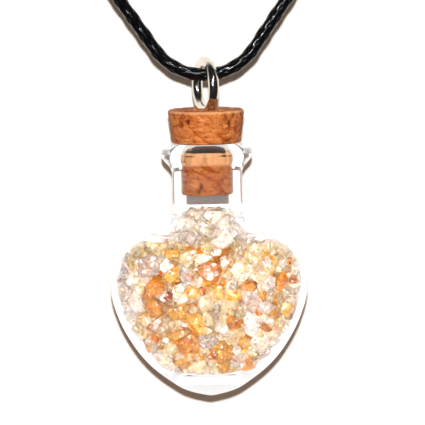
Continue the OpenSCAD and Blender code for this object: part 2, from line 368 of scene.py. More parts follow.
def united(meshes: Sequence[bpy.types.Mesh], name: str, sharp: float) -> bpy.types.Mesh:
    """Fuses closed meshes into one skin with nothing inside it.

    Args:
        meshes: The meshes, which are deleted.
        name: The new mesh's name.
        sharp: Angle in degrees from which its edges stay sharp.

    Returns:
        The fused mesh, smooth elsewhere.
    """
    others = bpy.data.collections.new(name + "_parts")
    bpy.context.scene.collection.children.link(others)
    first = put_in_scene(meshes[0].name, meshes[0])
    for mesh in meshes[1:]:
        others.objects.link(bpy.data.objects.new(mesh.name, mesh))
    fuse = first.modifiers.new("fuse", "BOOLEAN")
    fuse.operation = "UNION"
    fuse.operand_type = "COLLECTION"
    fuse.collection = others
    fuse.solver = "MANIFOLD"
    seen = bpy.context.evaluated_depsgraph_get()
    result = bpy.data.meshes.new_from_object(first.evaluated_get(seen))
    result.name = name
    for used in [first, *others.objects]:
        bpy.data.objects.remove(used)
    bpy.data.collections.remove(others)
    for mesh in meshes:
        bpy.data.meshes.remove(mesh)
    result.shade_smooth()
    result.set_sharp_from_angle(angle=math.radians(sharp))
    return result


# Finishes


@dataclass(frozen=True)
class FlintGlass:
    """Clear blown glass: bright inside, a thin grey line where its wall is seen edge-on."""

    lip_z_mm: float
    colour: str = "#fdfdfe"
    ior: float = 1.5
    roughness: float = 0.05
    # Slow waves that blowing leaves, which make the reflections swim
    wave_mm: float = 3.5
    wave_depth_mm: float = 0.012
    # Share of the light that reaches the pieces just behind the wall, seen square and edge-on
    near_shade: tuple[str, str] = ("#ffffff", "#8a7c74")
    # The same on a board farther away than this, which the bent light misses
    far_mm: float = 28.0
    far_shade: str = "#8c7c72"
    # Painted glow for light that goes round and round in the wall, in the heart and in the lip
    painted_glow_tones: tuple[str, str] = ("#fdfbfa", "#a39b96")
    caught_after: float = 5.5

    def shadow(self, tree: bpy.types.NodeTree, path: bpy.types.Node) -> bpy.types.Node:
        """What the wall lets through to whatever lies in its shadow.

        Args:
            tree: The material's nodes.
            path: Its Light Path node.

        Returns:
            The shader for shadow rays.
        """
        facing = add_node(tree, "LayerWeight", {"Blend": 0.5}).outputs["Facing"]
        near = add_node(tree, "ValToRGB", [facing], list(zip((0.5, 0.95), self.near_shade)))
        length = path.outputs["Ray Length"]
        far = add_node(tree, "Math", [length, self.far_mm * MM], operation="GREATER_THAN")
        tone = add_node(tree, "Mix", {0: far, 6: near, 7: linear(self.far_shade)}, data_type="RGBA")
        return add_node(tree, "BsdfTransparent", [tone])

    def material(self) -> bpy.types.Material:
        """Glass that lamps shine through, with a painted glow for light caught in its wall.

        Returns:
            The material.
        """
        material, tree = new_material("clear_flint_glass")
        place = add_node(tree, "TexCoord").outputs["Object"]
        path = add_node(tree, "LightPath")
        scale = 1 / (self.wave_mm * MM)
        wave = add_node(tree, "TexNoise", {"Vector": place, "Scale": scale, "Detail": 1.0})
        depth = self.wave_depth_mm * MM
        bump = add_node(tree, "Bump", {"Height": wave, "Strength": 1.0, "Distance": depth})
        glass = add_node(tree, "BsdfPrincipled", {
            "Base Color": linear(self.colour), "Roughness": self.roughness, "IOR": self.ior,
            "Transmission Weight": 1.0, "Normal": bump,
        })
        dark = self.shadow(tree, path)
        shown = add_node(tree, "MixShader", [path.outputs["Is Shadow Ray"], glass, dark])
        height = add_node(tree, "SeparateXYZ", [place]).outputs["Z"]
        low, high = (self.lip_z_mm - 1) * MM, (self.lip_z_mm + 1) * MM
        in_lip = add_node(tree, "MapRange", [height, low, high])
        heart, lip = (linear(tone) for tone in self.painted_glow_tones)
        painted_glow_tones = add_node(tree, "Mix", {0: in_lip, 6: heart, 7: lip}, data_type="RGBA")
        add_node(tree, "OutputMaterial", [trapped(tree, shown, painted_glow_tones, self.caught_after)])
        return material


@dataclass(frozen=True)
class TumbledStone:
    """Tumbled, crackled quartz: small breaks inside, each of which catches the light its own way."""

    name: str
    tints: Stops
    # Tones of the cracks between its breaks, and of its painted glints, bright specks painted into its
    # colour
    crack: str
    painted_glint_tone: str
    ior: float = 1.544
    # Share of light that passes, and the gloss, from the clearest chip to the milkiest
    clear: float = 0.94
    cloudy: float = 0.45
    smooth: float = 0.05
    worn: float = 0.22
    milk_range: tuple[float, float] = (0.25, 1.2)
    veil_mm: float = 0.9
    veil_share: float = 0.5
    break_mm: float = 0.5
    break_lean: float = 0.7
    # How far a break's own tint strays, and the middle that is taken off
    stray: float = 0.4
    middle: float = 0.45
    crack_mm: float = 0.42
    speck_mm: float = 0.55
    coat_rough: float = 0.18
    lit_through: float = 0.75
    # Bounces after which a ray ends on a painted glow of the stone's own colour
    trapped_after: float = 8.5

    def lean(self, tree: bpy.types.NodeTree, cells: bpy.types.Node) -> bpy.types.Node:
        """The surface's normal, leant by each cell's own random vector.

        Args:
            tree: The material's nodes.
            cells: Its breaks.

        Returns:
            The node that gives the normal.
        """
        random = cells.outputs["Color"]
        middle = add_node(tree, "VectorMath", [random, (0.5, 0.5, 0.5)], operation="SUBTRACT")
        lean = add_node(tree, "VectorMath", {0: middle, "Scale": self.break_lean}, operation="SCALE")
        normal = add_node(tree, "NewGeometry").outputs["Normal"]
        leant = add_node(tree, "VectorMath", [normal, lean])
        return add_node(tree, "VectorMath", [leant], operation="NORMALIZE")

    def colour(
        self, tree: bpy.types.NodeTree, place: bpy.types.NodeSocket, veil: bpy.types.Node,
        cells: bpy.types.Node,
    ) -> bpy.types.Node:
        """Each chip's own tint, changed a little from break to break, with cracks and painted glints.

        Args:
            tree: The material's nodes.
            place: Places on the stone.
            veil: The noise of its veils.
            cells: Its breaks.

        Returns:
            The node that gives the colour.
        """
        tint = add_node(tree, "Attribute", attribute_name="tint").outputs["Fac"]
        own = add_node(tree, "SeparateColor", [cells.outputs["Color"]])
        drift = add_node(tree, "Math", [veil, self.veil_share, tint], operation="MULTIPLY_ADD")
        varied = add_node(tree, "Math", [own, self.stray, drift], operation="MULTIPLY_ADD")
        centred = add_node(tree, "Math", [varied, self.middle], operation="SUBTRACT")
        body = add_node(tree, "ValToRGB", [centred], self.tints)
        fine = add_node(tree, "TexNoise", {
            "Vector": place, "Scale": 1 / (self.crack_mm * MM), "Detail": 2.5, "Roughness": 0.65,
            "Distortion": 1.2,
        })
        stops = ((0.33, self.crack), (0.43, "#f3ebe4"), (0.5, "#ffffff"))
        lines = add_node(tree, "ValToRGB", [fine], stops)
        cracked = add_node(
            tree, "Mix", {0: 1.0, 6: body, 7: lines}, data_type="RGBA", blend_type="MULTIPLY"
        )
        # Painted glints: small specks and patches of the noise mixed towards a bright tone
        scale = 1 / (self.speck_mm * MM)
        glint = add_node(tree, "TexVoronoi", {"Vector": place, "Scale": scale, "Randomness": 1.0})
        painted_specks = add_node(tree, "MapRange", [glint, 0.26, 0.16, 0.0, 1.0])
        painted_shine = add_node(tree, "MapRange", [fine, 0.58, 0.66, 0.0, 0.85])
        painted_glints = add_node(tree, "Math", [painted_specks, painted_shine], operation="MAXIMUM")
        return add_node(tree, "Mix", {0: painted_glints, 6: cracked, 7: linear(self.painted_glint_tone)}, data_type="RGBA")

    def material(self) -> bpy.types.Material:
        """Stone whose tint and cloud come from each chip's own numbers.

        Returns:
            The material.
        """
        material, tree = new_material(self.name)
        place = add_node(tree, "TexCoord").outputs["Object"]
        cloud = add_node(tree, "Attribute", attribute_name="cloud").outputs["Fac"]
        scale = 1 / (self.veil_mm * MM)
        veil = add_node(tree, "TexNoise", {"Vector": place, "Scale": scale, "Detail": 3.0})
        scale = 1 / (self.break_mm * MM)
        cells = add_node(tree, "TexVoronoi", {"Vector": place, "Scale": scale, "Randomness": 1.0})
        colour = self.colour(tree, place, veil, cells)
        leant = self.lean(tree, cells)
        milk = add_node(tree, "Math", [veil, self.veil_share, cloud], operation="MULTIPLY_ADD")
        see = add_node(tree, "MapRange", [milk, *self.milk_range, self.clear, self.cloudy])
        rough = add_node(tree, "MapRange", [milk, *self.milk_range, self.smooth, self.worn])
        stone = add_node(tree, "BsdfPrincipled", {
            "Base Color": colour, "Roughness": rough, "IOR": self.ior, "Transmission Weight": see,
            "Coat Weight": 1.0, "Coat Roughness": self.coat_rough, "Normal": leant,
            "Coat Normal": leant,
        })
        clear = add_node(tree, "BsdfTransparent", [colour])
        shadow = add_node(tree, "LightPath").outputs["Is Shadow Ray"]
        share = add_node(tree, "Math", [shadow, self.lit_through], operation="MULTIPLY")
        lit = add_node(tree, "MixShader", [share, stone, clear])
        add_node(tree, "OutputMaterial", [trapped(tree, lit, colour, self.trapped_after)])
        return material


@dataclass(frozen=True)
class NaturalCork:
    """Punched natural cork: dry and warm, with dark pits and curved growth streaks."""

    roughness: float = 0.78
    grain_mm: float = 0.35
    grain_depth_mm: float = 0.06
    streak_mm: float = 1.3
    # Turn and squeeze of the streaks
    streak_lean: tuple[float, float, float] = (0.35, 0.5, 0.0)
    streak_squeeze: tuple[float, float, float] = (1.0, 1.0, 3.2)
    streaks: Stops = ((0.28, "#7a3c1c"), (0.40, "#b0642f"), (0.55, "#c4763f"), (0.72, "#d99a66"))
    # Growth lines: their noise's size, how long they are drawn out, their dip and their number
    vein_mm: float = 2.6
    vein_stretch: float = 5.0
    vein_dip: float = 0.6
    vein_count: float = 4.0
    veins: Stops = ((0.0, "#bf7f58"), (0.05, "#e0bba2"), (0.16, "#ffffff"))
    flecks: Stops = ((0.32, "#a8907e"), (0.5, "#ffffff"), (0.7, "#fff4e6"))
    # Tones of the pits, of the painted light and painted shade in the lip, and of the top edge's light
    # band
    marks: Sequence[tuple[str, str]] = (("pit", "#5a2810"), ("glow", "#f0bf8e"), ("shade", "#150a06"))

    def material(self) -> bpy.types.Material:
        """Cork whose pits are dark, between lighter and redder streaks.

        Returns:
            The material.
        """
        material, tree = new_material("natural_cork")
        place = add_node(tree, "TexCoord").outputs["Object"]
        squeezed = add_node(
            tree, "Mapping",
            {"Vector": place, "Rotation": self.streak_lean, "Scale": self.streak_squeeze},
        )
        streak = add_node(tree, "TexNoise", {
            "Vector": squeezed, "Scale": 1 / (self.streak_mm * MM), "Detail": 5.0,
            "Roughness": 0.62, "Distortion": 0.8,
        })
        grain = add_node(tree, "TexNoise", {
            "Vector": place, "Scale": 1 / (self.grain_mm * MM), "Detail": 4.0, "Roughness": 0.7,
        })
        dip, stretch = (0.0, self.vein_dip, 0.0), (self.vein_stretch, 1.0, 1.0)
        along = add_node(
            tree, "Mapping", {"Vector": place, "Rotation": dip, "Scale": stretch},
            vector_type="TEXTURE",
        )
        growth = add_node(tree, "TexNoise", {
            "Vector": along, "Scale": 1 / (self.vein_mm * MM), "Detail": 1.5, "Distortion": 0.4,
        })
        rings = add_node(tree, "Math", [growth, self.vein_count], operation="MULTIPLY")
        vein = add_node(tree, "Math", [rings, 0.5], operation="PINGPONG")
        tone = add_node(tree, "ValToRGB", [streak], self.streaks)
        for share, pattern, stops in ((0.85, vein, self.veins), (0.8, grain, self.flecks)):
            over = add_node(tree, "ValToRGB", [pattern], stops)
            tone = add_node(
                tree, "Mix", {0: share, 6: tone, 7: over}, data_type="RGBA", blend_type="MULTIPLY"
            )
        # Pits, then the painted light and the painted shade that the cork's attributes carry
        for name, colour in self.marks:
            share = add_node(tree, "Attribute", attribute_name=name).outputs["Fac"]
            tone = add_node(tree, "Mix", {0: share, 6: tone, 7: linear(colour)}, data_type="RGBA")
        depth = self.grain_depth_mm * MM
        bump = add_node(tree, "Bump", {"Height": grain, "Strength": 0.8, "Distance": depth})
        cork = add_node(
            tree, "BsdfPrincipled", {"Base Color": tone, "Roughness": self.roughness, "Normal": bump}
        )
        add_node(tree, "OutputMaterial", [cork])
        return material


@dataclass(frozen=True)
class NickelPlate:
    """Nickel plate over polished wire: a warm white mirror with faint wear."""

    name: str = "nickel_plate"
    colour: str = "#e4dfd6"
    smooth: float = 0.07
    worn: float = 0.2
    # Wear, drawn coarser than real scratches so that it shows
    wear_mm: float = 0.8

    def material(self) -> bpy.types.Material:
        """Metal whose gloss changes a little with handling.

        Returns:
            The material.
        """
        material, tree = new_material(self.name)
        wear = add_node(tree, "TexNoise", {
            "Vector": add_node(tree, "TexCoord").outputs["Object"],
            "Scale": 1 / (self.wear_mm * MM), "Detail": 6.0, "Roughness": 0.7,
        })
        rough = add_node(tree, "MapRange", [wear, 0.4, 0.75, self.smooth, self.worn])
        metal = add_node(
            tree, "BsdfPrincipled",
            {"Base Color": linear(self.colour), "Metallic": 1.0, "Roughness": rough},
        )
        add_node(tree, "OutputMaterial", [metal])
        return material


@dataclass(frozen=True)
class WaxedCotton:
    """Braided cotton soaked in black wax: almost black, with small cold glints on the strands."""

    top: str = "#09090c"
    painted_groove_shade: str = "#010101"
    smooth: float = 0.1
    worn: float = 0.2
    gloss: float = 0.35
    # Fibres, drawn about eight times coarser than real ones, which no pixel would show
    fibre_mm: float = 0.16
    fibre_depth_mm: float = 0.009

    def material(self) -> bpy.types.Material:
        """Wax that shines on the strands, with painted shade that darkens the grooves between them.

        Returns:
            The material.
        """
        material, tree = new_material("waxed_cotton")
        fibre = add_node(tree, "TexNoise", {
            "Vector": add_node(tree, "TexCoord").outputs["Object"],
            "Scale": 1 / (self.fibre_mm * MM), "Detail": 3.0, "Roughness": 0.6,
        })
        # Painted shade: the grooves between the strands are coloured darker than the crests
        crest = add_node(tree, "Attribute", attribute_name="crest").outputs["Fac"]
        painted_groove_shade, top = linear(self.painted_groove_shade), linear(self.top)
        colour = add_node(tree, "Mix", {0: crest, 6: painted_groove_shade, 7: top}, data_type="RGBA")
        rough = add_node(tree, "MapRange", [fibre, 0.3, 0.7, self.smooth, self.worn])
        depth = self.fibre_depth_mm * MM
        bump = add_node(tree, "Bump", {"Height": fibre, "Strength": 1.0, "Distance": depth})
        cotton = add_node(tree, "BsdfPrincipled", {
            "Base Color": colour, "Roughness": rough, "Specular IOR Level": self.gloss,
            "Normal": bump,
        })
        add_node(tree, "OutputMaterial", [cotton])
        return material


# Pieces


@dataclass
class HeartBottle:
    """The blown bottle: one skin from the tip over the lip and down the bore to the base."""

    flare_h: float = 2.2
    neck_h: float = 4.5
    lip_h: float = 3.4
    lip_r: float = 5.1
    neck_d: float = 7.9
    bore_d: float = 6.0
    mouth_round: float = 0.8
    side_wall: float = 0.6
    face_wall: float = 0.85
    lobe_wall: float = 0.65
    base_h: float = 2.6
    heart_square: float = 2.3
    # Heights above the neck's foot of two bore rings that keep the wall straight down to it
    bore_rings: tuple[float, float] = (1.5, 0.7)
    sides: int = 192
    fine_steps: int = 7
    # Height as a share of the heart's, half-width and half-depth as shares of its own
    heart_rows: Rows = (
        (0.012, 0.090, 0.120), (0.028, 0.190, 0.240), (0.052, 0.292, 0.350),
        (0.088, 0.388, 0.465), (0.148, 0.525, 0.620), (0.209, 0.637, 0.735),
        (0.269, 0.723, 0.820), (0.330, 0.794, 0.885), (0.390, 0.854, 0.935),
        (0.452, 0.906, 0.970), (0.513, 0.946, 0.990), (0.580, 0.982, 1.000),
        (0.650, 1.000, 0.995), (0.720, 0.998, 0.980), (0.780, 0.986, 0.955),
        (0.830, 0.966, 0.930),
    )
    # Height at the sides and at the front, where 0 is the shoulder, 1 the lobes' top and 2 the
    # neck's foot; half-width and half-depth as shares of the way in to the neck's radius
    shoulder_rows: Rows = (
        (0.336, 0.210, 0.070, 0.090), (0.526, 0.336, 0.115, 0.163),
        (0.700, 0.462, 0.204, 0.249), (0.873, 0.605, 0.323, 0.356),
        (1.000, 0.747, 0.472, 0.478), (0.975, 0.889, 0.606, 0.606),
        (0.940, 1.045, 0.725, 0.728), (1.070, 1.250, 0.829, 0.821),
        (1.320, 1.477, 0.903, 0.907), (1.640, 1.727, 0.963, 0.964),
    )
    # Height as a share of the way from the base to the inner shoulder, and the cavity's shares
    cavity_rows: Rows = (
        (0.000, 0.330, 0.400), (0.010, 0.420, 0.540), (0.045, 0.505, 0.650),
        (0.110, 0.595, 0.750), (0.200, 0.690, 0.835), (0.310, 0.785, 0.905),
        (0.430, 0.870, 0.955), (0.560, 0.940, 0.985), (0.690, 0.985, 1.000),
        (0.810, 1.000, 0.990), (0.910, 0.990, 0.965), (1.000, 0.960, 0.935),
    )
    # The same columns as shoulder_rows
    cavity_shoulder_rows: Rows = (
        (0.373, 0.243, 0.075, 0.082), (0.611, 0.438, 0.147, 0.146),
        (0.827, 0.632, 0.246, 0.228), (0.985, 0.805, 0.374, 0.335),
        (1.000, 0.978, 0.502, 0.449), (0.955, 1.115, 0.600, 0.550),
        (1.050, 1.246, 0.680, 0.640), (1.180, 1.393, 0.765, 0.735),
        (1.400, 1.574, 0.850, 0.830), (1.680, 1.770, 0.935, 0.925),
    )
    # Height as a share of the lip's, and swell from the neck, or from the mouth, to the bead
    lip_under_rows: Rows = ((0.0, 0.0), (0.14, 0.10), (0.28, 0.38), (0.42, 0.76), (0.55, 0.97))
    lip_over_rows: Rows = ((0.66, 1.0), (0.80, 0.87), (0.91, 0.58), (0.98, 0.20))

    def __post_init__(self) -> None:
        """Takes the overall sizes and the tip's place from the frame."""
        low, high = (np.array(corner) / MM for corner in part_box("glass_bottle"))
        self.tip_z = low[2]
        self.height = high[2] - low[2]
        self.heart_a = (high[0] - low[0]) / 2
        self.heart_b = (high[1] - low[1]) / 2
        self.neck_foot = self.height - self.lip_h - self.neck_h
        self.heart_h = self.neck_foot - self.flare_h
        self.lip_foot = self.neck_foot + self.neck_h
        self.bore_r = self.bore_d / 2
        self.mouth_r = self.bore_r + self.mouth_round
        self.shoulder = self.heart_rows[-1][0] * self.heart_h

    def body_rings(self, rows: Rows, low: float, high: float, a: float, b: float) -> np.ndarray:
        """Flat rings of the heart.

        Args:
            rows: Table of height, half-width and half-depth shares.
            low: Height where the first share is 0.
            high: Height where it is 1.
            a: Half-width that the second share is of.
            b: Half-depth that the third share is of.

        Returns:
            Rows of side height, front height, half-width, half-depth and squareness.
        """
        share = np.array(rows)
        z = low + share[:, 0] * (high - low)
        square = np.full(len(share), self.heart_square)
        return np.stack([z, z, share[:, 1] * a, share[:, 2] * b, square], axis=1)

    def shoulder_rings(
        self, rows: Rows, lobe_top: float, a: float, b: float, neck: float
    ) -> np.ndarray:
        """Bent rings from the lobes' shoulder to the neck's foot.

        Args:
            rows: Table of side height, front height, width and depth shares.
            lobe_top: Height of the lobes' tops on this face.
            a: Half-width at the shoulder.
            b: Half-depth at the shoulder.
            neck: Radius at the neck's foot.

        Returns:
            Rows of side height, front height, half-width, half-depth and squareness.
        """
        share = np.array(rows)
        levels = [self.shoulder, lobe_top, self.neck_foot]
        side, front = (np.interp(share[:, i], [0, 1, 2], levels) for i in (0, 1))
        wide, deep = a + (neck - a) * share[:, 2], b + (neck - b) * share[:, 3]
        square = self.heart_square + (2 - self.heart_square) * share[:, 2]
        return np.stack([side, front, wide, deep, square], axis=1)

    @staticmethod
    def round_rings(levels: Sequence[float], radii: Sequence[float]) -> np.ndarray:
        """Flat round rings, as rows of side height, front height, two radii and squareness 2."""
        z, r = np.array(levels), np.array(radii)
        return np.stack([z, z, r, r, np.full(len(z), 2.0)], axis=1)

    def outer_rings(self) -> np.ndarray:
        """Rings of the outer face from the tip to the top of the lip's bead.

        Returns:
            Rows of side height, front height, half-width, half-depth and squareness.
        """
        rows = ((0.0, 0.001, 0.001), *self.heart_rows)
        heart = self.body_rings(rows, 0, self.heart_h, self.heart_a, self.heart_b)
        neck_r = self.neck_d / 2
        shoulder = self.shoulder_rings(self.shoulder_rows, self.heart_h, *heart[-1, 2:4], neck_r)
        foot = self.round_rings([self.neck_foot], [neck_r])
        under, over = np.array(self.lip_under_rows), np.array(self.lip_over_rows)
        bead = self.round_rings(
            self.lip_foot + np.concatenate([under[:, 0], over[:, 0]]) * self.lip_h,
            np.concatenate([
                neck_r + under[:, 1] * (self.lip_r - neck_r),
                self.mouth_r + over[:, 1] * (self.lip_r - self.mouth_r),
            ]),
        )
        return np.concatenate([heart, shoulder, foot, bead])

    def mouth_rings(self) -> np.ndarray:
        """Quarter turn round the mouth's edge: z = top - m (1 - cos t), r = R - m sin t."""
        turn = np.radians(np.linspace(0, 90, 5))
        return self.round_rings(
            self.height - self.mouth_round * (1 - np.cos(turn)),
            self.mouth_r - self.mouth_round * np.sin(turn),
        )

    def cavity_rings(self) -> np.ndarray:
        """Rings of the inner face from the base up to the foot of the bore.

        Returns:
            Rows of side height, front height, half-width, half-depth and squareness.
        """
        a, b = self.heart_a - self.side_wall, self.heart_b - self.face_wall
        body = self.body_rings(self.cavity_rows, self.base_h, self.shoulder, a, b)
        top = self.heart_h - self.lobe_wall
        shoulder = self.shoulder_rings(self.cavity_shoulder_rows, top, *body[-1, 2:4], self.bore_r)
        return np.concatenate([body, shoulder, self.round_rings([self.neck_foot], [self.bore_r])])

    def ring_points(self, rings: np.ndarray) -> np.ndarray:
        """Points of superellipse rings: x = a c**p, y = b s**p, z = front + (side - front) c**2.

        Here c and s are the cosine and sine of the turn, and p is 2 over the squareness.

        Args:
            rings: Rows of side height, front height, half-width, half-depth and squareness.

        Returns:
            Points from the frame's origin, shaped rings, sides, 3.
        """
        turn = np.arange(self.sides) * math.tau / self.sides
        side, front, a, b, square = (column[:, None] for column in rings.T)
        x = a * signed_power(np.cos(turn), 2 / square)
        y = b * signed_power(np.sin(turn), 2 / square)
        z = self.tip_z + front + (side - front) * np.cos(turn) ** 2
        return np.stack([x, y, z], axis=-1)

    def build(self) -> bpy.types.Object:
        """Skins the fine rings and dresses them as glass.

        Returns:
            The piece.
        """
        up = monotone(np.concatenate([self.outer_rings(), self.mouth_rings()]), self.fine_steps)
        bore = self.round_rings([self.neck_foot + rise for rise in self.bore_rings], [self.bore_r] * 2)
        down = monotone(np.concatenate([bore, self.cavity_rings()[::-1]]), self.fine_steps)
        mesh = skin_mesh("heart_bottle", self.ring_points(np.concatenate([up, down])))
        glass = FlintGlass(lip_z_mm=self.tip_z + self.lip_foot).material()
        return place_piece(mesh, glass, Body.PENDANT, "glass_bottle")


@dataclass
class ChipPile:
    """Tumbled chips that fill the bottle up to the foot of its neck."""

    bottle: HeartBottle
    seed: int = 5
    tries: int = 26000
    # Radius of a chip, and the share of the tries that have it
    grades: Rows = ((1.1, 0.05), (0.85, 0.18), (0.62, 0.37), (0.42, 0.40))
    level_above_neck_foot: float = 0.5
    wall_gap: float = 0.03
    near_wall: float = 0.12
    crowding: float = 0.93
    neighbours: int = 14
    own_faces: int = 7
    # Shares of its radius at which a chip's two flat faces, its other faces and its bounds stand
    flatness: tuple[float, float] = (0.5, 0.95)
    own_reach: tuple[float, float] = (0.72, 1.12)
    bound_reach: float = 1.2
    press: float = 1.03
    sharp_from: float = 40.0
    citrine_share: float = 0.27
    cluster_mm: float = 2.0
    # Half-width where the pale rim starts: at the tip, its rise with height, and its most
    rim_low: float = 2.4
    rim_rise: float = 0.5
    rim_most: float = 7.5
    # Height and half-width of the pale top, height of the pale foot
    pale_top: tuple[float, float] = (16.5, 4.5)
    pale_foot: float = 5.0
    # Chance in the choice of citrine, and how much rarer it is at the rim, top and foot
    chance: float = 0.6
    rarer: tuple[float, float, float] = (1.1, 2.5, 0.5)
    # Where a citrine chip's tints start and how wide they range, for chips larger than the limit
    large_over: float = 0.5
    large_tints: tuple[float, float] = (0.1, 0.5)
    small_tints: tuple[float, float] = (0.15, 0.8)
    whiter: float = 0.65
    quartz: TumbledStone = TumbledStone(
        "tumbled_quartz",
        ((0.0, "#fffbf9"), (0.2, "#fdf6ef"), (0.4, "#fbf3dc"), (0.55, "#f8eab6"),
         (0.7, "#fae2aa"), (0.85, "#fbece0"), (1.0, "#f6e8e2")),
        crack="#b48a68",
        # The last tone of each stone is its painted glint
        painted_glint_tone="#ffffff",
    )
    citrine: TumbledStone = TumbledStone(
        "tumbled_citrine",
        ((0.0, "#ffe08c"), (0.2, "#fccc52"), (0.45, "#f8b430"), (0.7, "#f09c18"),
         (0.88, "#d4600a"), (1.0, "#8a2802")),
        crack="#bc741c",
        painted_glint_tone="#fff0c8",
        clear=0.9,
        cloudy=0.5,
    )

    def inset(self, margin: float) -> np.ndarray:
        """The cavity's rings, drawn in from the glass by a margin.

        Args:
            margin: How far in they are drawn. Heights over the floor's edge move by half of it.

        Returns:
            Rows of side height, front height, half-width, half-depth and squareness.
        """
        rings = self.bottle.cavity_rings()
        up = np.where(np.arange(len(rings)) < len(self.bottle.cavity_rows), margin, -margin)
        share = np.where(rings[:, :1] > self.bottle.base_h + 1, 0.5, 1)
        rings[:, :2] += up[:, None] * share
        rings[:, 2:4] -= margin
        top = rings[-1:].copy()
        top[0, :2] = self.bottle.neck_foot + self.level_above_neck_foot
        return np.concatenate([rings, top])

    def inside(self, points: np.ndarray, margin: float) -> np.ndarray:
        """Tells which points lie in the cavity, clear of the glass.

        On the half-plane through a point and the bottle's axis, each ring gives the share s of
        the point's own distance at which it stands, |x s / a|**n + |y s / b|**n = 1, and its
        height there. The point is inside if the outline that these draw crosses its level an odd
        number of times beyond it.

        Args:
            points: Places measured from the bottle's tip.
            margin: Least distance from the glass.

        Returns:
            True for each point that is inside.
        """
        side, front, a, b, square = self.inset(margin).T
        x, y = np.abs(points[..., :1]) / a, np.abs(points[..., 1:2]) / b
        reach = np.maximum(x**square + y**square, 1e-9)
        share = reach ** (-1 / square)
        off = front + (side - front) * x**square / reach - points[..., 2:]
        low, high = off[..., :-1], off[..., 1:]
        crosses = (low < 0) != (high < 0)
        part = np.where(crosses, low / np.where(crosses, low - high, 1), 0)
        beyond = share[..., :-1] + part * (share[..., 1:] - share[..., :-1]) > 1
        return (crosses & beyond).sum(axis=-1) % 2 == 1

    def centres(self, rng: np.random.Generator) -> tuple[np.ndarray, np.ndarray]:
        """Throws chips into the cavity, the largest first, and keeps each that finds room.

        Args:
            rng: The pile's random numbers.

        Returns:
            Centres measured from the bottle's tip, and radii.
        """
        bottle = self.bottle
        top = bottle.neck_foot + self.level_above_neck_foot
        low = np.array([-bottle.heart_a, -bottle.heart_b, bottle.base_h])
        high = np.array([bottle.heart_a, bottle.heart_b, top])
        points = rng.uniform(low, high, (self.tries, 3))
        counts = [round(share * self.tries) for _, share in self.grades]
        radii = np.repeat([radius for radius, _ in self.grades], counts)
        room = np.concatenate([
            self.inside(part, radius * self.near_wall)
            for part, (radius, _) in zip(np.split(points, np.cumsum(counts)[:-1]), self.grades)
        ])
        points, radii = points[room], radii[room]
        kept: list[int] = []
        for i, point in enumerate(points):
            apart = np.linalg.norm(points[kept] - point, axis=1)
            if (apart > self.crowding * (radii[kept] + radii[i])).all():
                kept.append(i)
        return points[kept], radii[kept]

    def planes(
        self, centres: np.ndarray, radii: np.ndarray, rng: np.random.Generator
    ) -> tuple[np.ndarray, np.ndarray]:
        """Planes that cut each chip out: those that it shares with its neighbours, and its own.

        Args:
            centres: The chips' centres.
            radii: Their radii.
            rng: The pile's random numbers.

        Returns:
            Unit normals, shaped chips, planes, 3, and distances from the chips' centres.
        """
        gaps = centres[None] - centres[:, None]
        apart = np.linalg.norm(gaps, axis=2) + np.eye(len(centres)) * 1e3
        near = np.argsort(apart, axis=1)[:, : self.neighbours]
        pick = np.arange(len(centres))[:, None]
        distance = apart[pick, near]
        shared = gaps[pick, near] / distance[..., None]
        heights = self.press * distance * radii[:, None] / (radii[:, None] + radii[near])
        own = rng.normal(size=(len(centres), self.own_faces, 3))
        own[:, 1] = -own[:, 0]
        own /= np.linalg.norm(own, axis=2, keepdims=True)
        reach = rng.uniform(*self.own_reach, own.shape[:2])
        reach[:, :2] = rng.uniform(*self.flatness, (len(centres), 1))
        cube = np.array([[x, y, z] for x in (-1, 1) for y in (-1, 1) for z in (-1, 1)])
        bound = np.broadcast_to(cube / math.sqrt(3), (len(centres), 8, 3))
        reach = np.concatenate([reach, np.full(bound.shape[:2], self.bound_reach)], axis=1)
        normals = np.concatenate([shared, own, bound], axis=1)
        return normals, np.concatenate([heights, radii[:, None] * reach], axis=1)

    @staticmethod
    def corners(normals: np.ndarray, heights: np.ndarray, triples: np.ndarray) -> np.ndarray:
        """Corners that planes n . v = h cut out: v = (h1 n2 x n3 + h2 n3 x n1 + h3 n1 x n2) / det.

        Args:
            normals: Unit normals of a chip's planes.
            heights: Their distances from its centre.
            triples: Every three of them, by number.

        Returns:
            The meeting points of three planes that no other plane cuts off.
        """
        n, h = normals[triples], heights[triples]
        cross = np.cross(n[:, [1, 2, 0]], n[:, [2, 0, 1]])
        det = (n[:, 0] * cross[:, 0]).sum(axis=1)
        meets = np.abs(det) > 1e-4
        found = (h[meets, :, None] * cross[meets]).sum(axis=1) / det[meets, None]
        return found[(found @ normals.T <= heights + 1e-6).all(axis=1)]

    def off_wall(self, centre: np.ndarray, points: np.ndarray) -> np.ndarray:
        """Draws points in towards their chip's centre until they are clear of the glass.

        Args:
            centre: The chip's centre.
            points: Its corners.

        Returns:
            The corners that are clear.
        """
        steps = np.linspace(0, 1, 15)[1:]
        tried = centre + (points - centre)[:, None] * steps[:, None]
        free = np.cumprod(self.inside(tried, self.wall_gap), axis=-1).sum(axis=-1) * steps[0]
        return centre + (points - centre) * np.maximum(free, 0.1)[:, None]

    def pale(self, centres: np.ndarray) -> np.ndarray:
        """How far each chip is in the pile's pale zones.

        Args:
            centres: The chips' centres, measured from the bottle's tip.

        Returns:
            Shares from 0 to 1, in a row each for the rim, the top and the foot.
        """
        x, z = np.abs(centres[:, 0]), centres[:, 2]
        rim = np.minimum(self.rim_low + self.rim_rise * z, self.rim_most)
        top, wide = self.pale_top
        shares = [(x - rim) / 2, (z - top) / 1.5 * (x < wide), (self.pale_foot - z) / 2]
        return np.clip(shares, 0, 1)

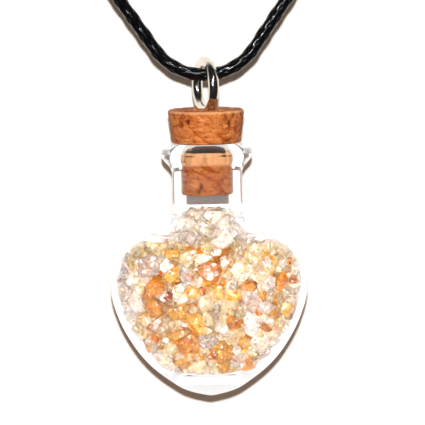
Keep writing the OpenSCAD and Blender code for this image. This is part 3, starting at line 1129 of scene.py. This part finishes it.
    def amber(self, centres: np.ndarray, rng: np.random.Generator) -> np.ndarray:
        """Tells which chips are citrine: clusters in the middle, few at the rim, none on top.

        Args:
            centres: The chips' centres, measured from the bottle's tip.
            rng: The pile's random numbers.

        Returns:
            True for each citrine chip.
        """
        warm = lattice_noise(centres, self.cluster_mm, self.seed)
        warm += rng.normal(0, self.chance, len(centres)) - self.rarer @ self.pale(centres)
        return warm > np.quantile(warm, 1 - self.citrine_share)

    def chip(self, corners: np.ndarray, tint: float, cloud: float) -> bpy.types.Mesh:
        """Wraps a chip's corners in its hull.

        Args:
            corners: The corners, measured from the bottle's tip.
            tint: The chip's place in its stone's range of colours.
            cloud: How milky it is.

        Returns:
            The chip's mesh, whose faces keep both numbers.
        """
        hull = bmesh.new()
        for corner in (corners + [0, 0, self.bottle.tip_z]) * MM:
            hull.verts.new(corner)
        wrapped = bmesh.ops.convex_hull(hull, input=hull.verts)
        spare = [e for e in wrapped["geom_interior"] if isinstance(e, bmesh.types.BMVert)]
        bmesh.ops.delete(hull, geom=spare, context="VERTS")
        mesh = bpy.data.meshes.new("chip")
        hull.to_mesh(mesh)
        hull.free()
        for name, value in (("tint", tint), ("cloud", cloud)):
            values = np.full(len(mesh.polygons), value, np.float32)
            mesh.attributes.new(name, "FLOAT", "FACE").data.foreach_set("value", values)
        return mesh

    def build(self) -> list[bpy.types.Object]:
        """Makes the two kinds of chip, each fused where its stones press on each other.

        Returns:
            The two pieces.
        """
        rng = np.random.default_rng(self.seed)
        centres, radii = self.centres(rng)
        normals, heights = self.planes(centres, radii, rng)
        triples = np.array(list(combinations(range(normals.shape[1]), 3)))
        cut = [
            self.off_wall(centre, centre + self.corners(n, h, triples))
            for centre, n, h in zip(centres, normals, heights)
        ]
        is_citrine = self.amber(centres, rng)
        tints, clouds = rng.uniform(0, 1, (2, len(centres)))
        spans = np.where(radii[:, None] > self.large_over, self.large_tints, self.small_tints)
        white = 1 - self.whiter * self.pale(centres).max(axis=0)
        tints = np.where(is_citrine, spans[:, 0] + spans[:, 1] * tints, tints * white)
        piles = []
        for name, chosen, stone, node, slot in (
            ("quartz_pile", ~is_citrine, self.quartz, "quartz_chips", Slot.QUARTZ),
            ("citrine_pile", is_citrine, self.citrine, "citrine_chips", Slot.CITRINE),
        ):
            chips = [self.chip(cut[i], tints[i], clouds[i]) for i in np.flatnonzero(chosen)]
            log.info("%s: %d chips", name, len(chips))
            mesh = united(chips, name, self.sharp_from)
            piles.append(place_piece(mesh, stone.material(), Body.PENDANT, node))
        return piles


@dataclass
class Stopper:
    """The cork: a taper above the lip, a shoulder over the mouth's rounding, a plug below."""

    bottle: HeartBottle
    top_d: float = 8.6
    lip_d: float = 7.7
    in_neck: float = 5.8
    seat_gap: float = 0.05
    bevel: float = 0.2
    spacing: float = 0.09
    sides: int = 240
    # Pits: their number, their depth, and the ranges of their width, height and squash
    pits: int = 90
    pit_depth: float = 0.32
    pit_widths: tuple[float, float] = (0.12, 0.34)
    pit_heights: tuple[float, float] = (0.1, 0.55)
    pit_squash: tuple[float, float] = (0.5, 1.0)
    # Pits that the front shows near its top corners: place across, and depth below the top face
    marks: Rows = (
        (-3.7, 0.5), (-3.1, 1.0), (-2.5, 0.6), (-2.9, 1.6), (-2.1, 1.2), (1.3, 0.5),
        (2.2, 0.9), (3.1, 0.6), (2.7, 1.5), (3.5, 1.3),
    )
    # The cork that the wire pushed up where it enters: its radius, width and height
    collar: tuple[float, float, float] = (1.05, 0.35, 0.16)
    # The dark crescent of painted shade in the lip: depth of its edge below the lip's top in the
    # middle, what it gains with the square of the place across, and its most
    crescent: tuple[float, float, float] = (1.28, 0.035, 1.365)
    # Depth down to which the plug has painted light, and where a faint painted shade starts below it
    painted_light_to: float = 1.85
    painted_shade_from: float = 1.9
    seed: int = 8
    finish: NaturalCork = field(default_factory=NaturalCork)

    def __post_init__(self) -> None:
        """Takes the height of the top face from the frame."""
        self.top_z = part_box("cork_stopper")[1][2] / MM

    def profile(self) -> np.ndarray:
        """Rows of radius and height from the middle of the bottom to the middle of the top.

        Returns:
            The evenly spaced rows, with heights measured from the bottle's tip.
        """
        bottle = self.bottle
        plug = bottle.bore_r - self.seat_gap
        seat = bottle.mouth_round + self.seat_gap
        top = self.top_z - bottle.tip_z
        turn = np.radians(np.linspace(90, 8, 8))
        level = bottle.height - bottle.mouth_round + seat * np.cos(turn)
        shoulder = np.stack([bottle.mouth_r - seat * np.sin(turn), level], axis=1)
        bottom = bottle.height - self.in_neck
        line = np.concatenate([
            [[0.01, bottom], [plug - self.bevel, bottom], [plug, bottom + self.bevel]],
            shoulder,
            [[self.lip_d / 2, bottle.height + self.seat_gap],
             [self.top_d / 2, top - self.bevel], [self.top_d / 2 - self.bevel, top],
             [0.01, top]],
        ])
        return even_rows(line, self.spacing)

    def pitted(self, profile: np.ndarray, rings: np.ndarray, rough: np.ndarray) -> np.ndarray:
        """Depth of the pits: 1.4 less the distance from a pit's middle in its own half-sizes.

        Args:
            profile: The cork's rows of radius and height.
            rings: Its points.
            rough: The coarse noise that frays the pits.

        Returns:
            A share from 0 to 1 for each point.
        """
        rng = np.random.default_rng(self.seed)
        rows = rng.integers(20, len(rings) - 12, self.pits)
        places = list(rings[rows, rng.integers(0, self.sides, self.pits)])
        for across, down in self.marks:
            row = np.argmin(np.abs(profile[:, 1] - (profile[-1, 1] - down)))
            turn = math.pi * 1.5 + math.asin(across / profile[row, 0])
            places.append(rings[row, round(turn / math.tau * self.sides) % self.sides])
        pit = np.zeros(rings.shape[:2])
        for place in places:
            width, height = rng.uniform(*self.pit_widths), rng.uniform(*self.pit_heights)
            off = (rings - place) / np.array([width, width, height * rng.uniform(*self.pit_squash)])
            pit = np.maximum(pit, np.clip(1.4 - np.linalg.norm(off, axis=2), 0, 1))
        return np.clip(pit * (0.75 + 0.6 * rough), 0, 1)

    def lip_tones(self, rings: np.ndarray) -> tuple[np.ndarray, np.ndarray]:
        """Painted light and shade on the cork: bands inside the lip, and a lighter band on its top
        edge.

        Args:
            rings: The cork's points.

        Returns:
            How bright and how dark each point is. Past 0 and 1 the dark is cut off later, so
            that its edge stays a smooth curve between the points.
        """
        depth = self.bottle.tip_z + self.bottle.height - rings[..., 2]
        # Painted shade: a dark crescent high in the lip and a faint shade lower down the plug
        middle, bend, most = self.crescent
        edge = np.minimum(middle + bend * rings[..., 0] ** 2, most)
        crescent = np.minimum((edge - depth) / 0.04, depth / 0.1)
        faint = 0.16 * np.clip((depth - self.painted_shade_from) / 0.3, 0, 1)
        shade = np.where(depth < self.painted_light_to - 0.1, crescent, faint)
        glow = 0.5 * np.clip((self.painted_light_to - depth) / 0.2, 0, 1) * np.clip(depth / 0.1, 0, 1)
        rim = self.top_z - rings[..., 2]
        top_edge = 0.45 * np.clip((0.4 - rim) / 0.2, 0, 1) * (rim > 0.04)
        return np.maximum(glow, top_edge), shade

    def build(self) -> bpy.types.Object:
        """Turns the profile, then sinks pits and grain into it and raises the wire's collar.

        Returns:
            The piece.
        """
        profile = self.profile()
        run = np.gradient(profile, axis=0)
        out = np.stack([run[:, 1], -run[:, 0]], axis=1)
        out /= np.linalg.norm(out, axis=1, keepdims=True)
        rings, normals = revolve(profile, self.sides), revolve(out, self.sides)
        rough = lattice_noise(rings, 0.22, 3) * 0.5 + lattice_noise(rings, 0.6, 4)
        pit = self.pitted(profile, rings, rough)
        sink = 0.05 * np.clip(rough + 0.4, 0, None) + self.pit_depth * pit
        radius, width, rise = self.collar
        off = (np.linalg.norm(rings[..., :2], axis=-1) - radius) / width
        on_top = rings[..., 2] > profile[-1, 1] - 0.01
        sink -= on_top * rise * (1 + 0.6 * rough) * np.exp(-(off**2))
        rings = rings - normals * sink[..., None] + [0, 0, self.bottle.tip_z]
        mesh = skin_mesh("cork", rings)
        # Painted light and painted shade for the cork's colour
        glow, shade = self.lip_tones(rings)
        for name, values in (("pit", pit), ("glow", glow), ("shade", shade)):
            set_point_values(mesh, name, values)
        cork = self.finish.material()
        return place_piece(mesh, cork, Body.PENDANT, "cork_stopper")


@dataclass
class WireEye:
    """The screw eye: a ring of polished wire with its screw in the cork."""

    hole_d: float = 4.2
    wire_d: float = 1.2
    turn: float = 70.0
    screw_length: float = 6.0
    screw_d: float = 1.4
    core_d: float = 0.9
    pitch: float = 0.8
    point: float = 1.2
    sharp_from: float = 50.0
    finish: NickelPlate = field(default_factory=NickelPlate)

    def __post_init__(self) -> None:
        """Takes the height of the ring's middle from the frame."""
        self.ring_r = (self.hole_d + self.wire_d) / 2
        self.ring_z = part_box("screw_eye")[1][2] / MM - self.ring_r - self.wire_d / 2

    def ring(self) -> bpy.types.Mesh:
        """Torus: radius R + w cos v at turn u, w sin v off its plane, turned to the front.

        Returns:
            The ring's mesh.
        """
        u = (np.arange(144) * math.tau / 144)[:, None]
        v = np.arange(40) * math.tau / 40
        w = self.wire_d / 2
        reach = self.ring_r + w * np.cos(v)
        across = reach * np.cos(u)
        up = self.ring_z + reach * np.sin(u)
        off = np.broadcast_to(w * np.sin(v), across.shape)
        lean = math.radians(self.turn)
        x = across * math.cos(lean) + off * math.sin(lean)
        y = -across * math.sin(lean) + off * math.cos(lean)
        return skin_mesh("ring", np.stack([x, y, up], axis=-1), closed=True)

    def screw(self) -> bpy.types.Mesh:
        """Screw of radius core + (crest - core) (1 - 4 |z / pitch + t / turn - 1/2|), where > 0.

        Returns:
            The screw's mesh, up to the middle of the ring's wire.
        """
        top = self.ring_z - self.ring_r
        low = top - self.screw_length
        core, crest = self.core_d / 2, self.screw_d / 2
        z = np.linspace(low, top, 180)[:, None]
        t = np.arange(36) / 36
        phase = (z / self.pitch + t) % 1
        ridge = np.clip(1 - 4 * np.abs(phase - 0.5), 0, None)
        threaded = np.clip((top - self.wire_d / 2 - z) / 0.4, 0, 1)
        taper = np.clip((z - low) / self.point, 0.03, 1)
        radius = (core + (crest - core) * ridge * threaded) * taper
        angle = t * math.tau
        level = np.broadcast_to(z, radius.shape)
        rings = np.stack([radius * np.cos(angle), radius * np.sin(angle), level], axis=-1)
        return skin_mesh("screw", rings)

    def build(self) -> bpy.types.Object:
        """Fuses the ring and its screw into one piece of wire.

        Returns:
            The piece.
        """
        mesh = united([self.ring(), self.screw()], "wire_eye", self.sharp_from)
        nickel = self.finish.material()
        return place_piece(mesh, nickel, Body.PENDANT, "screw_eye")


@dataclass
class BraidedCord:
    """The whole loop of waxed cord: eight strands, braided over and under, round the route."""

    loop_length: float = 450.0
    diameter: float = 1.5
    bend_r: float = 6.7
    leg_lean: float = 34.5
    clasp_length: float = 14.0
    bore_depth: float = 4.0
    seat_gap: float = 0.05
    # Strands of each of the two families, length between crossings, and depth of the grooves
    strands: int = 4
    cell_length: float = 1.2
    relief: float = 0.14
    sides: int = 40
    near_step: float = 0.1
    far_step: float = 0.26
    near_length: float = 45.0
    finish: WaxedCotton = field(default_factory=WaxedCotton)

    def route(self) -> np.ndarray:
        """Stations of the loop's centreline, closely spaced near the bend.

        A straight stretch in the clasp, a wide arc on each side of the nape, two straight legs
        and the tight bend in the ring, each tangent to the next.

        Returns:
            Rows of length along the cord, x, z and heading in radians.
        """
        lean = math.radians(self.leg_lean)
        half = self.clasp_length / 2
        top_turn, bend_turn = math.pi / 2 + lean, math.pi / 2 - lean
        top_r = (
            self.loop_length / 2
            - half * (1 + 1 / math.sin(lean))
            + self.bend_r * (1 / math.tan(lean) - bend_turn)
        ) / (1 / math.tan(lean) + top_turn)
        leg = (half + (top_r - self.bend_r) * math.cos(lean)) / math.sin(lean)
        bend_z = (
            self.bend_r * math.sin(lean) - top_r * (1 + math.sin(lean)) - leg * math.cos(lean)
        )
        lead = self.bore_depth - self.seat_gap
        ends = np.cumsum([lead, top_r * top_turn, leg, self.bend_r * bend_turn])
        total = ends[-1]
        near = np.arange(0, self.near_length, self.near_step)
        far = np.arange(self.near_length, total, self.far_step)
        s = total - np.concatenate([near, far, [total]])[::-1]
        turn = np.interp(s, [0, *ends], [0, 0, top_turn, top_turn, math.pi])
        left = ends[2] - s
        parts = [s < ends[0], s < ends[1], s < ends[2]]
        x = np.select(
            parts,
            [half - lead + s, half + top_r * np.sin(turn),
             self.bend_r * math.sin(top_turn) - left * math.cos(top_turn)],
            self.bend_r * np.sin(turn),
        )
        z = np.select(
            parts,
            [0 * s, top_r * (np.cos(turn) - 1),
             bend_z + self.bend_r * math.cos(top_turn) + left * math.sin(top_turn)],
            bend_z + self.bend_r * np.cos(turn),
        )
        right = np.stack([s, x, z, turn], axis=1)
        left_side = right[-2::-1] * [-1, -1, 1, -1] + [2 * total, 0, 0, math.tau]
        return np.concatenate([right, left_side])

    def braid(self, s: np.ndarray, t: np.ndarray) -> np.ndarray:
        """Height of the braid, from 0 in its grooves to 1 on its crests.

        Strands of the two families lie at whole numbers of p = n t + s / 2c and q = n t - s / 2c,
        with t in turns. A strand is round, sqrt(1 - 3.6 d**2) at d from its middle, and rises
        over every other strand that it crosses, by cos(pi q) for an even p.

        Args:
            s: Length along the cord.
            t: Turns round it.

        Returns:
            The height at each place.
        """
        p = self.strands * t + s / (2 * self.cell_length)
        q = self.strands * t - s / (2 * self.cell_length)
        i, j = np.round(p), np.round(q)
        round_p = np.sqrt(np.clip(1 - 3.6 * (p - i) ** 2, 0, 1))
        round_q = np.sqrt(np.clip(1 - 3.6 * (q - j) ** 2, 0, 1))
        over_p = np.cos(math.pi * q) * np.where(i % 2 == 0, 1, -1)
        over_q = -np.cos(math.pi * p) * np.where(j % 2 == 0, 1, -1)
        height = np.maximum(round_p + 0.55 * over_p, round_q + 0.55 * over_q)
        return np.clip((height - 0.3) / 1.25, 0, 1)

    def build(self) -> bpy.types.Object:
        """Sweeps the braid along the route: point = centre + r (cos t across + sin t forwards).

        Returns:
            The piece.
        """
        s, x, z, heading = (column[:, None] for column in self.route().T)
        t = np.arange(self.sides) / self.sides
        crest = self.braid(s, t)
        radius = self.diameter / 2 - self.relief * (1 - crest)
        across, forwards = radius * np.cos(t * math.tau), radius * np.sin(t * math.tau)
        points = [x + across * np.sin(heading), -forwards + 0 * x, z + across * np.cos(heading)]
        mesh = skin_mesh("braided_cord", np.stack(points, axis=-1))
        set_point_values(mesh, "crest", crest)
        cotton = self.finish.material()
        return place_piece(mesh, cotton, Body.CORD, "neck_cord")


@dataclass
class BarrelClasp:
    """The plain barrel at the nape, grooved round its middle, with a blind bore in each end."""

    length: float = 14.0
    diameter: float = 4.0
    bore_d: float = 1.6
    bore_depth: float = 4.0
    rounding: float = 0.6
    chamfer: float = 0.1
    groove_w: float = 0.5
    groove_depth: float = 0.25
    sides: int = 72
    sharp_from: float = 35.0
    finish: NickelPlate = NickelPlate("barrel_nickel", "#d8d3ca", 0.16, 0.34, 0.3)

    def build(self) -> bpy.types.Object:
        """Turns the outline, from one bore's floor to the other's, and lays it along X.

        Returns:
            The piece.
        """
        half, r, bore = self.length / 2, self.diameter / 2, self.bore_d / 2
        floor, groove_r = half - self.bore_depth, r - self.groove_depth
        turn = np.radians(np.linspace(0, 90, 9))
        rim = [r, half] - self.rounding * np.stack([1 - np.cos(turn), 1 - np.sin(turn)], axis=1)
        side = np.concatenate([
            [[groove_r, 0.0], [groove_r, self.groove_w / 2],
             [r, self.groove_w / 2 + self.groove_depth], [r, half * 0.5]],
            rim,
            [[bore + self.chamfer, half], [bore, half - self.chamfer], [bore, floor], [0.01, floor]],
        ])
        rings = revolve(np.concatenate([side[::-1] * [1, -1], side[1:]]), self.sides)
        mesh = skin_mesh("clasp_barrel", rings[..., [2, 0, 1]])
        mesh.set_sharp_from_angle(angle=math.radians(self.sharp_from))
        return place_piece(mesh, self.finish.material(), Body.CORD, "barrel_clasp")


# Stage


def gathered(name: str, pieces: Sequence[bpy.types.Object]) -> bpy.types.Collection:
    """Makes a collection of pieces for a lamp to light.

    Args:
        name: The collection's name.
        pieces: The pieces.

    Returns:
        The new collection.
    """
    group = bpy.data.collections.new(name)
    for piece in pieces:
        group.objects.link(piece)
    return group


@dataclass(frozen=True)
class Lamp:
    """A round lamp by the lens, turned to the middle of the photo."""

    name: str
    radius: float
    watts: float
    # Place across and above the lens
    place: tuple[float, float] = (0.0, 0.0)
    colour: str = "#ffffff"
    # Kinds of ray that don't see it
    unseen_by: tuple[str, ...] = ()
    casts_shadow: bool = True
    met_by_chance: bool = True

    def hang(
        self, camera: bpy.types.Object, aim: np.ndarray, lit: bpy.types.Collection | None = None
    ) -> bpy.types.Object:
        """Adds the lamp to the scene.

        Args:
            camera: The camera that it stands by.
            aim: The point at the middle of the photo, in millimetres.
            lit: The only pieces that it lights, if it doesn't light all.

        Returns:
            The lamp.
        """
        data = bpy.data.lights.new(self.name, "AREA")
        data.shape = "DISK"
        data.size = 2 * self.radius * MM
        data.energy = self.watts
        data.color = linear(self.colour)[:3]
        data.use_shadow = self.casts_shadow
        data.cycles.use_multiple_importance_sampling = self.met_by_chance
        lamp = put_in_scene(self.name, data)
        lamp.location = camera.location + camera.rotation_quaternion @ Vector((*self.place, 0.0)) * MM
        lamp.rotation_mode = "QUATERNION"
        lamp.rotation_quaternion = (Vector(aim * MM) - lamp.location).to_track_quat("-Z", "Y")
        for kind in self.unseen_by:
            setattr(lamp, "visible_" + kind, False)
        if lit:
            lamp.light_linking.receiver_collection = lit
        return lamp


@dataclass
class Studio:
    """White board and pale floor, a small lamp by the lens, and a warm dim room round them."""

    # Width of the photo, in pixels and in millimetres at the pendant
    photo_px: float = 425.0
    mm_per_px: float = 0.1124
    # Pixels of the bottle's tip, and the lean of the hanging pendant from the photo's vertical
    tip_px: tuple[float, float] = (211.3, 396.5)
    roll: float = 1.09
    elevation: float = 5.8
    distance: float = 400.0
    sensor: float = 36.0
    key: Lamp = Lamp("key", 1.5, 2.3, (0.0, 8.0), "#fffaf4", ("glossy", "transmission"))
    flash: Lamp = Lamp("flash", 4.0, 0.06, (0.0, 14.0), unseen_by=("diffuse",))
    # Glints on the stones, and sheen on the cord and the ring
    glint: Lamp = Lamp("glint", 18.0, 1.3, (0.0, 0.0), "#f4f8ff", ("diffuse",), met_by_chance=False)
    glint_places: Rows = ((0.0, 60.0), (-150.0, 110.0), (140.0, 150.0), (-60.0, 260.0),
                          (230.0, 20.0), (-230.0, -40.0))
    sheen_radius: float = 7.0
    sheen_watts: float = 0.9
    sheen_places: Rows = ((-40.0, 150.0), (90.0, 230.0), (-130.0, 40.0))
    # The light that the stones pass on to each other, as one wide lamp without shadows
    fill: Lamp = Lamp("fill", 150.0, 0.62, (0.0, -100.0), "#fff9f0", ("glossy", "transmission"),
                      casts_shadow=False)
    near_key: Lamp = Lamp("near_key", 4.0, 2.346, (0.0, 49.11))
    white: str = "#f7f6f5"
    board_back: float = 45.0
    board_half: float = 900.0
    board_top: float = 500.0
    near_back: float = 8.0
    near_half: float = 40.0
    near_beyond: float = 30.0
    # The painted shadow of the cork on the near board: its half-width, its soft edge, its lower edge
    # above the bottle's tip, its height and its tones from there up
    shade_half: float = 4.5
    shade_soft: float = 0.3
    shade_low: float = 20.9
    shade_rise: float = 2.5
    painted_shadow_tones: Stops = ((0.0, "#f7f6f5"), (0.05, "#6e625b"), (0.5, "#584d48"), (1.0, "#4b423d"))
    floor_z: float = -260.0
    floor_half: float = 2500.0
    # Share of the room's light that comes from where the camera stands
    dark: float = 0.02

    def aim(self) -> np.ndarray:
        """The point at the middle of the photo, from the tip's pixel.

        Returns:
            The point, in millimetres.
        """
        tip_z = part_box("glass_bottle")[0][2] / MM
        lean = math.radians(self.roll)
        right = (self.photo_px / 2 - self.tip_px[0]) * self.mm_per_px
        up = (self.tip_px[1] - self.photo_px / 2) * self.mm_per_px
        x = right * math.cos(lean) + up * math.sin(lean)
        z = up * math.cos(lean) - right * math.sin(lean)
        return np.array([x, 0.0, tip_z + z / math.cos(math.radians(self.elevation))])

    def camera(self) -> bpy.types.Object:
        """Sets the camera at the photo's angle and framing.

        Returns:
            The camera.
        """
        tilt = math.radians(self.elevation)
        back = np.array([0.0, -math.cos(tilt), math.sin(tilt)])
        data = bpy.data.cameras.new("camera")
        data.sensor_width = self.sensor
        data.lens = self.sensor * self.distance / (self.photo_px * self.mm_per_px)
        data.clip_start, data.clip_end = 0.01, 20.0
        camera = put_in_scene("camera", data)
        camera.location = Vector((self.aim() + back * self.distance) * MM)
        look = Vector(-back).to_track_quat("-Z", "Y")
        roll = Euler((0.0, 0.0, math.radians(-self.roll))).to_quaternion()
        camera.rotation_mode = "QUATERNION"
        camera.rotation_quaternion = look @ roll
        bpy.context.scene.camera = camera
        return camera

    def lamps(
        self, camera: bpy.types.Object, stones: Sequence[bpy.types.Object],
        shiny: Sequence[bpy.types.Object],
    ) -> None:
        """Hangs the key lamp and its glow, and the lamps that light some pieces only.

        Args:
            camera: The camera that they stand by.
            stones: The pieces that glitter all over.
            shiny: The pieces that shine here and there.
        """
        aim = self.aim()
        self.key.hang(camera, aim)
        self.flash.hang(camera, aim)
        sheen = replace(self.glint, radius=self.sheen_radius, watts=self.sheen_watts)
        glitter = ((self.glint, self.glint_places, stones), (sheen, self.sheen_places, shiny))
        for lamp, places, pieces in glitter:
            group = gathered("glinting", pieces)
            for place in places:
                replace(lamp, place=place).hang(camera, aim, group)
        self.fill.hang(camera, aim, gathered("filled", stones))

    def room(self) -> None:
        """Lights the room.

        Matt surfaces see it warm and dim, and brighter overhead. Glass and metal see white
        screens all round, but for the dark that the camera stands in. The eye sees pale walls.
        """
        world = bpy.data.worlds.new("room")
        world.use_nodes = True
        tree = world.node_tree
        tree.nodes.clear()
        split = add_node(tree, "SeparateXYZ", [add_node(tree, "TexCoord").outputs["Generated"]])
        path = add_node(tree, "LightPath")
        walls = []
        # Tone, and how its strength runs from one height or depth of the room to another
        for colour, axis, *run in (
            ("#f0cdb0", "Z", 0.05, 0.8, 0.03, 0.42),
            ("#fbf8f5", "Y", -0.25, -0.8, 1.0, self.dark),
            ("#fbf8f5", "Y", 0.45, -0.15, 1.0, self.dark),
        ):
            place = split.outputs[axis]
            strength = add_node(tree, "MapRange", [place, *run], interpolation_type="SMOOTHSTEP")
            walls.append(add_node(tree, "Background", [linear(colour), strength]))
        ambient, screens, mirrored = walls
        pale = add_node(tree, "Background", [linear("#f4f2ef")])
        glossy = add_node(tree, "MixShader", [path.outputs["Is Glossy Ray"], screens, mirrored])
        shown = add_node(tree, "MixShader", [path.outputs["Is Camera Ray"], glossy, pale])
        matt = add_node(tree, "Math", [path.outputs["Diffuse Depth"], 0.5], operation="GREATER_THAN")
        add_node(tree, "OutputWorld", [add_node(tree, "MixShader", [matt, shown, ambient])])
        world.cycles.sampling_method = "NONE"
        bpy.context.scene.world = world

    def board(self) -> None:
        """Stands a white board behind the pendant's swing, clear from its back and its sides."""
        material, tree = new_material("white_board")
        white = add_node(tree, "BsdfDiffuse", [linear(self.white)])
        clear = add_node(tree, "BsdfTransparent")
        lean = add_node(tree, "LayerWeight", {"Blend": 0.5}).outputs["Facing"]
        flat = add_node(tree, "MapRange", [lean, 0.7, 0.8])
        back = add_node(tree, "NewGeometry").outputs["Backfacing"]
        gone = add_node(tree, "Math", [back, flat], operation="MAXIMUM")
        add_node(tree, "OutputMaterial", [add_node(tree, "MixShader", [gone, white, clear])])
        y = self.board_back
        self.sheet("board", self.board_half, (y, y), (self.floor_z, self.board_top), material)

    def shaded(self, tip: float) -> bpy.types.Material:
        """White card with the cork's shadow painted on it behind the empty neck.

        Args:
            tip: Height of the bottle's tip.

        Returns:
            The card's material.
        """
        material, tree = new_material("shaded_card")
        split = add_node(tree, "SeparateXYZ", [add_node(tree, "TexCoord").outputs["Object"]])
        off = add_node(tree, "Math", [split.outputs["X"]], operation="ABSOLUTE")
        soft, half = (self.shade_half + self.shade_soft) * MM, self.shade_half * MM
        across = add_node(tree, "MapRange", [off, soft, half])
        low, high = (tip + self.shade_low) * MM, (tip + self.shade_low + self.shade_rise) * MM
        up = add_node(tree, "MapRange", [split.outputs["Z"], low, high])
        tone = add_node(tree, "ValToRGB", [up], self.painted_shadow_tones)
        colour = add_node(tree, "Mix", {0: across, 6: linear(self.white), 7: tone}, data_type="RGBA")
        add_node(tree, "OutputMaterial", [add_node(tree, "BsdfDiffuse", [colour])])
        return material

    def near_board(self, camera: bpy.types.Object) -> None:
        """Stands the board that the glass shows, close behind it, with a lamp of its own.

        Args:
            camera: The camera that the lamp stands above.
        """
        y, tip = self.near_back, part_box("glass_bottle")[0][2] / MM
        levels = (tip - self.near_beyond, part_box("screw_eye")[1][2] / MM + self.near_beyond)
        board = self.sheet("near_board", self.near_half, (y, y), levels, self.shaded(tip))
        for kind in ("camera", "diffuse", "glossy", "shadow"):
            setattr(board, "visible_" + kind, False)
        only = gathered("near_lit", [board])
        # Nothing but the board blocks the near lamp, so the cork's shadow on it is the painted one
        self.near_key.hang(camera, self.aim(), only).light_linking.blocker_collection = only
        others = gathered("far_lit", [board])
        others.collection_objects[0].light_linking.link_state = "EXCLUDE"
        for name in ("key", "flash"):
            bpy.data.objects[name].light_linking.receiver_collection = others

    def floor(self) -> None:
        """Lays the pale floor, of an even tone, which sends little light back to matt surfaces."""
        material, tree = new_material("pale_floor")
        depth = add_node(tree, "LightPath").outputs["Diffuse Depth"]
        matt = add_node(tree, "MapRange", {"Value": depth, "To Min": 1.0, "To Max": 0.06})
        even = add_node(tree, "Emission", [linear("#f1eeea"), matt])
        add_node(tree, "OutputMaterial", [even])
        half, z = self.floor_half, self.floor_z
        self.sheet("floor", half, (-half, half), (z, z), material).visible_glossy = False

    @staticmethod
    def sheet(
        name: str, half: float, y: tuple[float, float], z: tuple[float, float],
        material: bpy.types.Material,
    ) -> bpy.types.Object:
        """Adds one flat face of the stage.

        Args:
            name: Its name.
            half: Its half-width.
            y: Depths of its lower or front edge and of the other one.
            z: Heights of the same two edges.
            material: Its material.

        Returns:
            The face's object.
        """
        corners = [(-half, y[0], z[0]), (half, y[0], z[0]), (half, y[1], z[1]), (-half, y[1], z[1])]
        mesh = bpy.data.meshes.new(name)
        mesh.from_pydata((np.array(corners) * MM).tolist(), [], [[0, 1, 2, 3]])
        mesh.materials.append(material)
        plane = put_in_scene(name, mesh)
        return plane

    def build(self, stones: Sequence[bpy.types.Object], shiny: Sequence[bpy.types.Object]) -> None:
        """Sets camera, lamps, room, boards and floor.

        Args:
            stones: The pieces that glitter all over.
            shiny: The pieces that shine here and there.
        """
        bpy.context.scene.view_settings.view_transform = "Standard"
        camera = self.camera()
        self.lamps(camera, stones, shiny)
        self.room()
        self.board()
        self.near_board(camera)
        self.floor()
        log.info("camera at %s", [round(v / MM, 1) for v in camera.location])


def main() -> None:
    """Builds each piece, from the cord down, and then the stage."""
    logging.basicConfig(level=logging.INFO, format="%(message)s")
    cord = BraidedCord().build()
    BarrelClasp().build()
    bottle = HeartBottle()
    ring = WireEye().build()
    Stopper(bottle).build()
    bottle.build()
    piles = ChipPile(bottle).build()
    Studio().build(piles, [cord, ring])


if __name__ == "__main__":
    main()
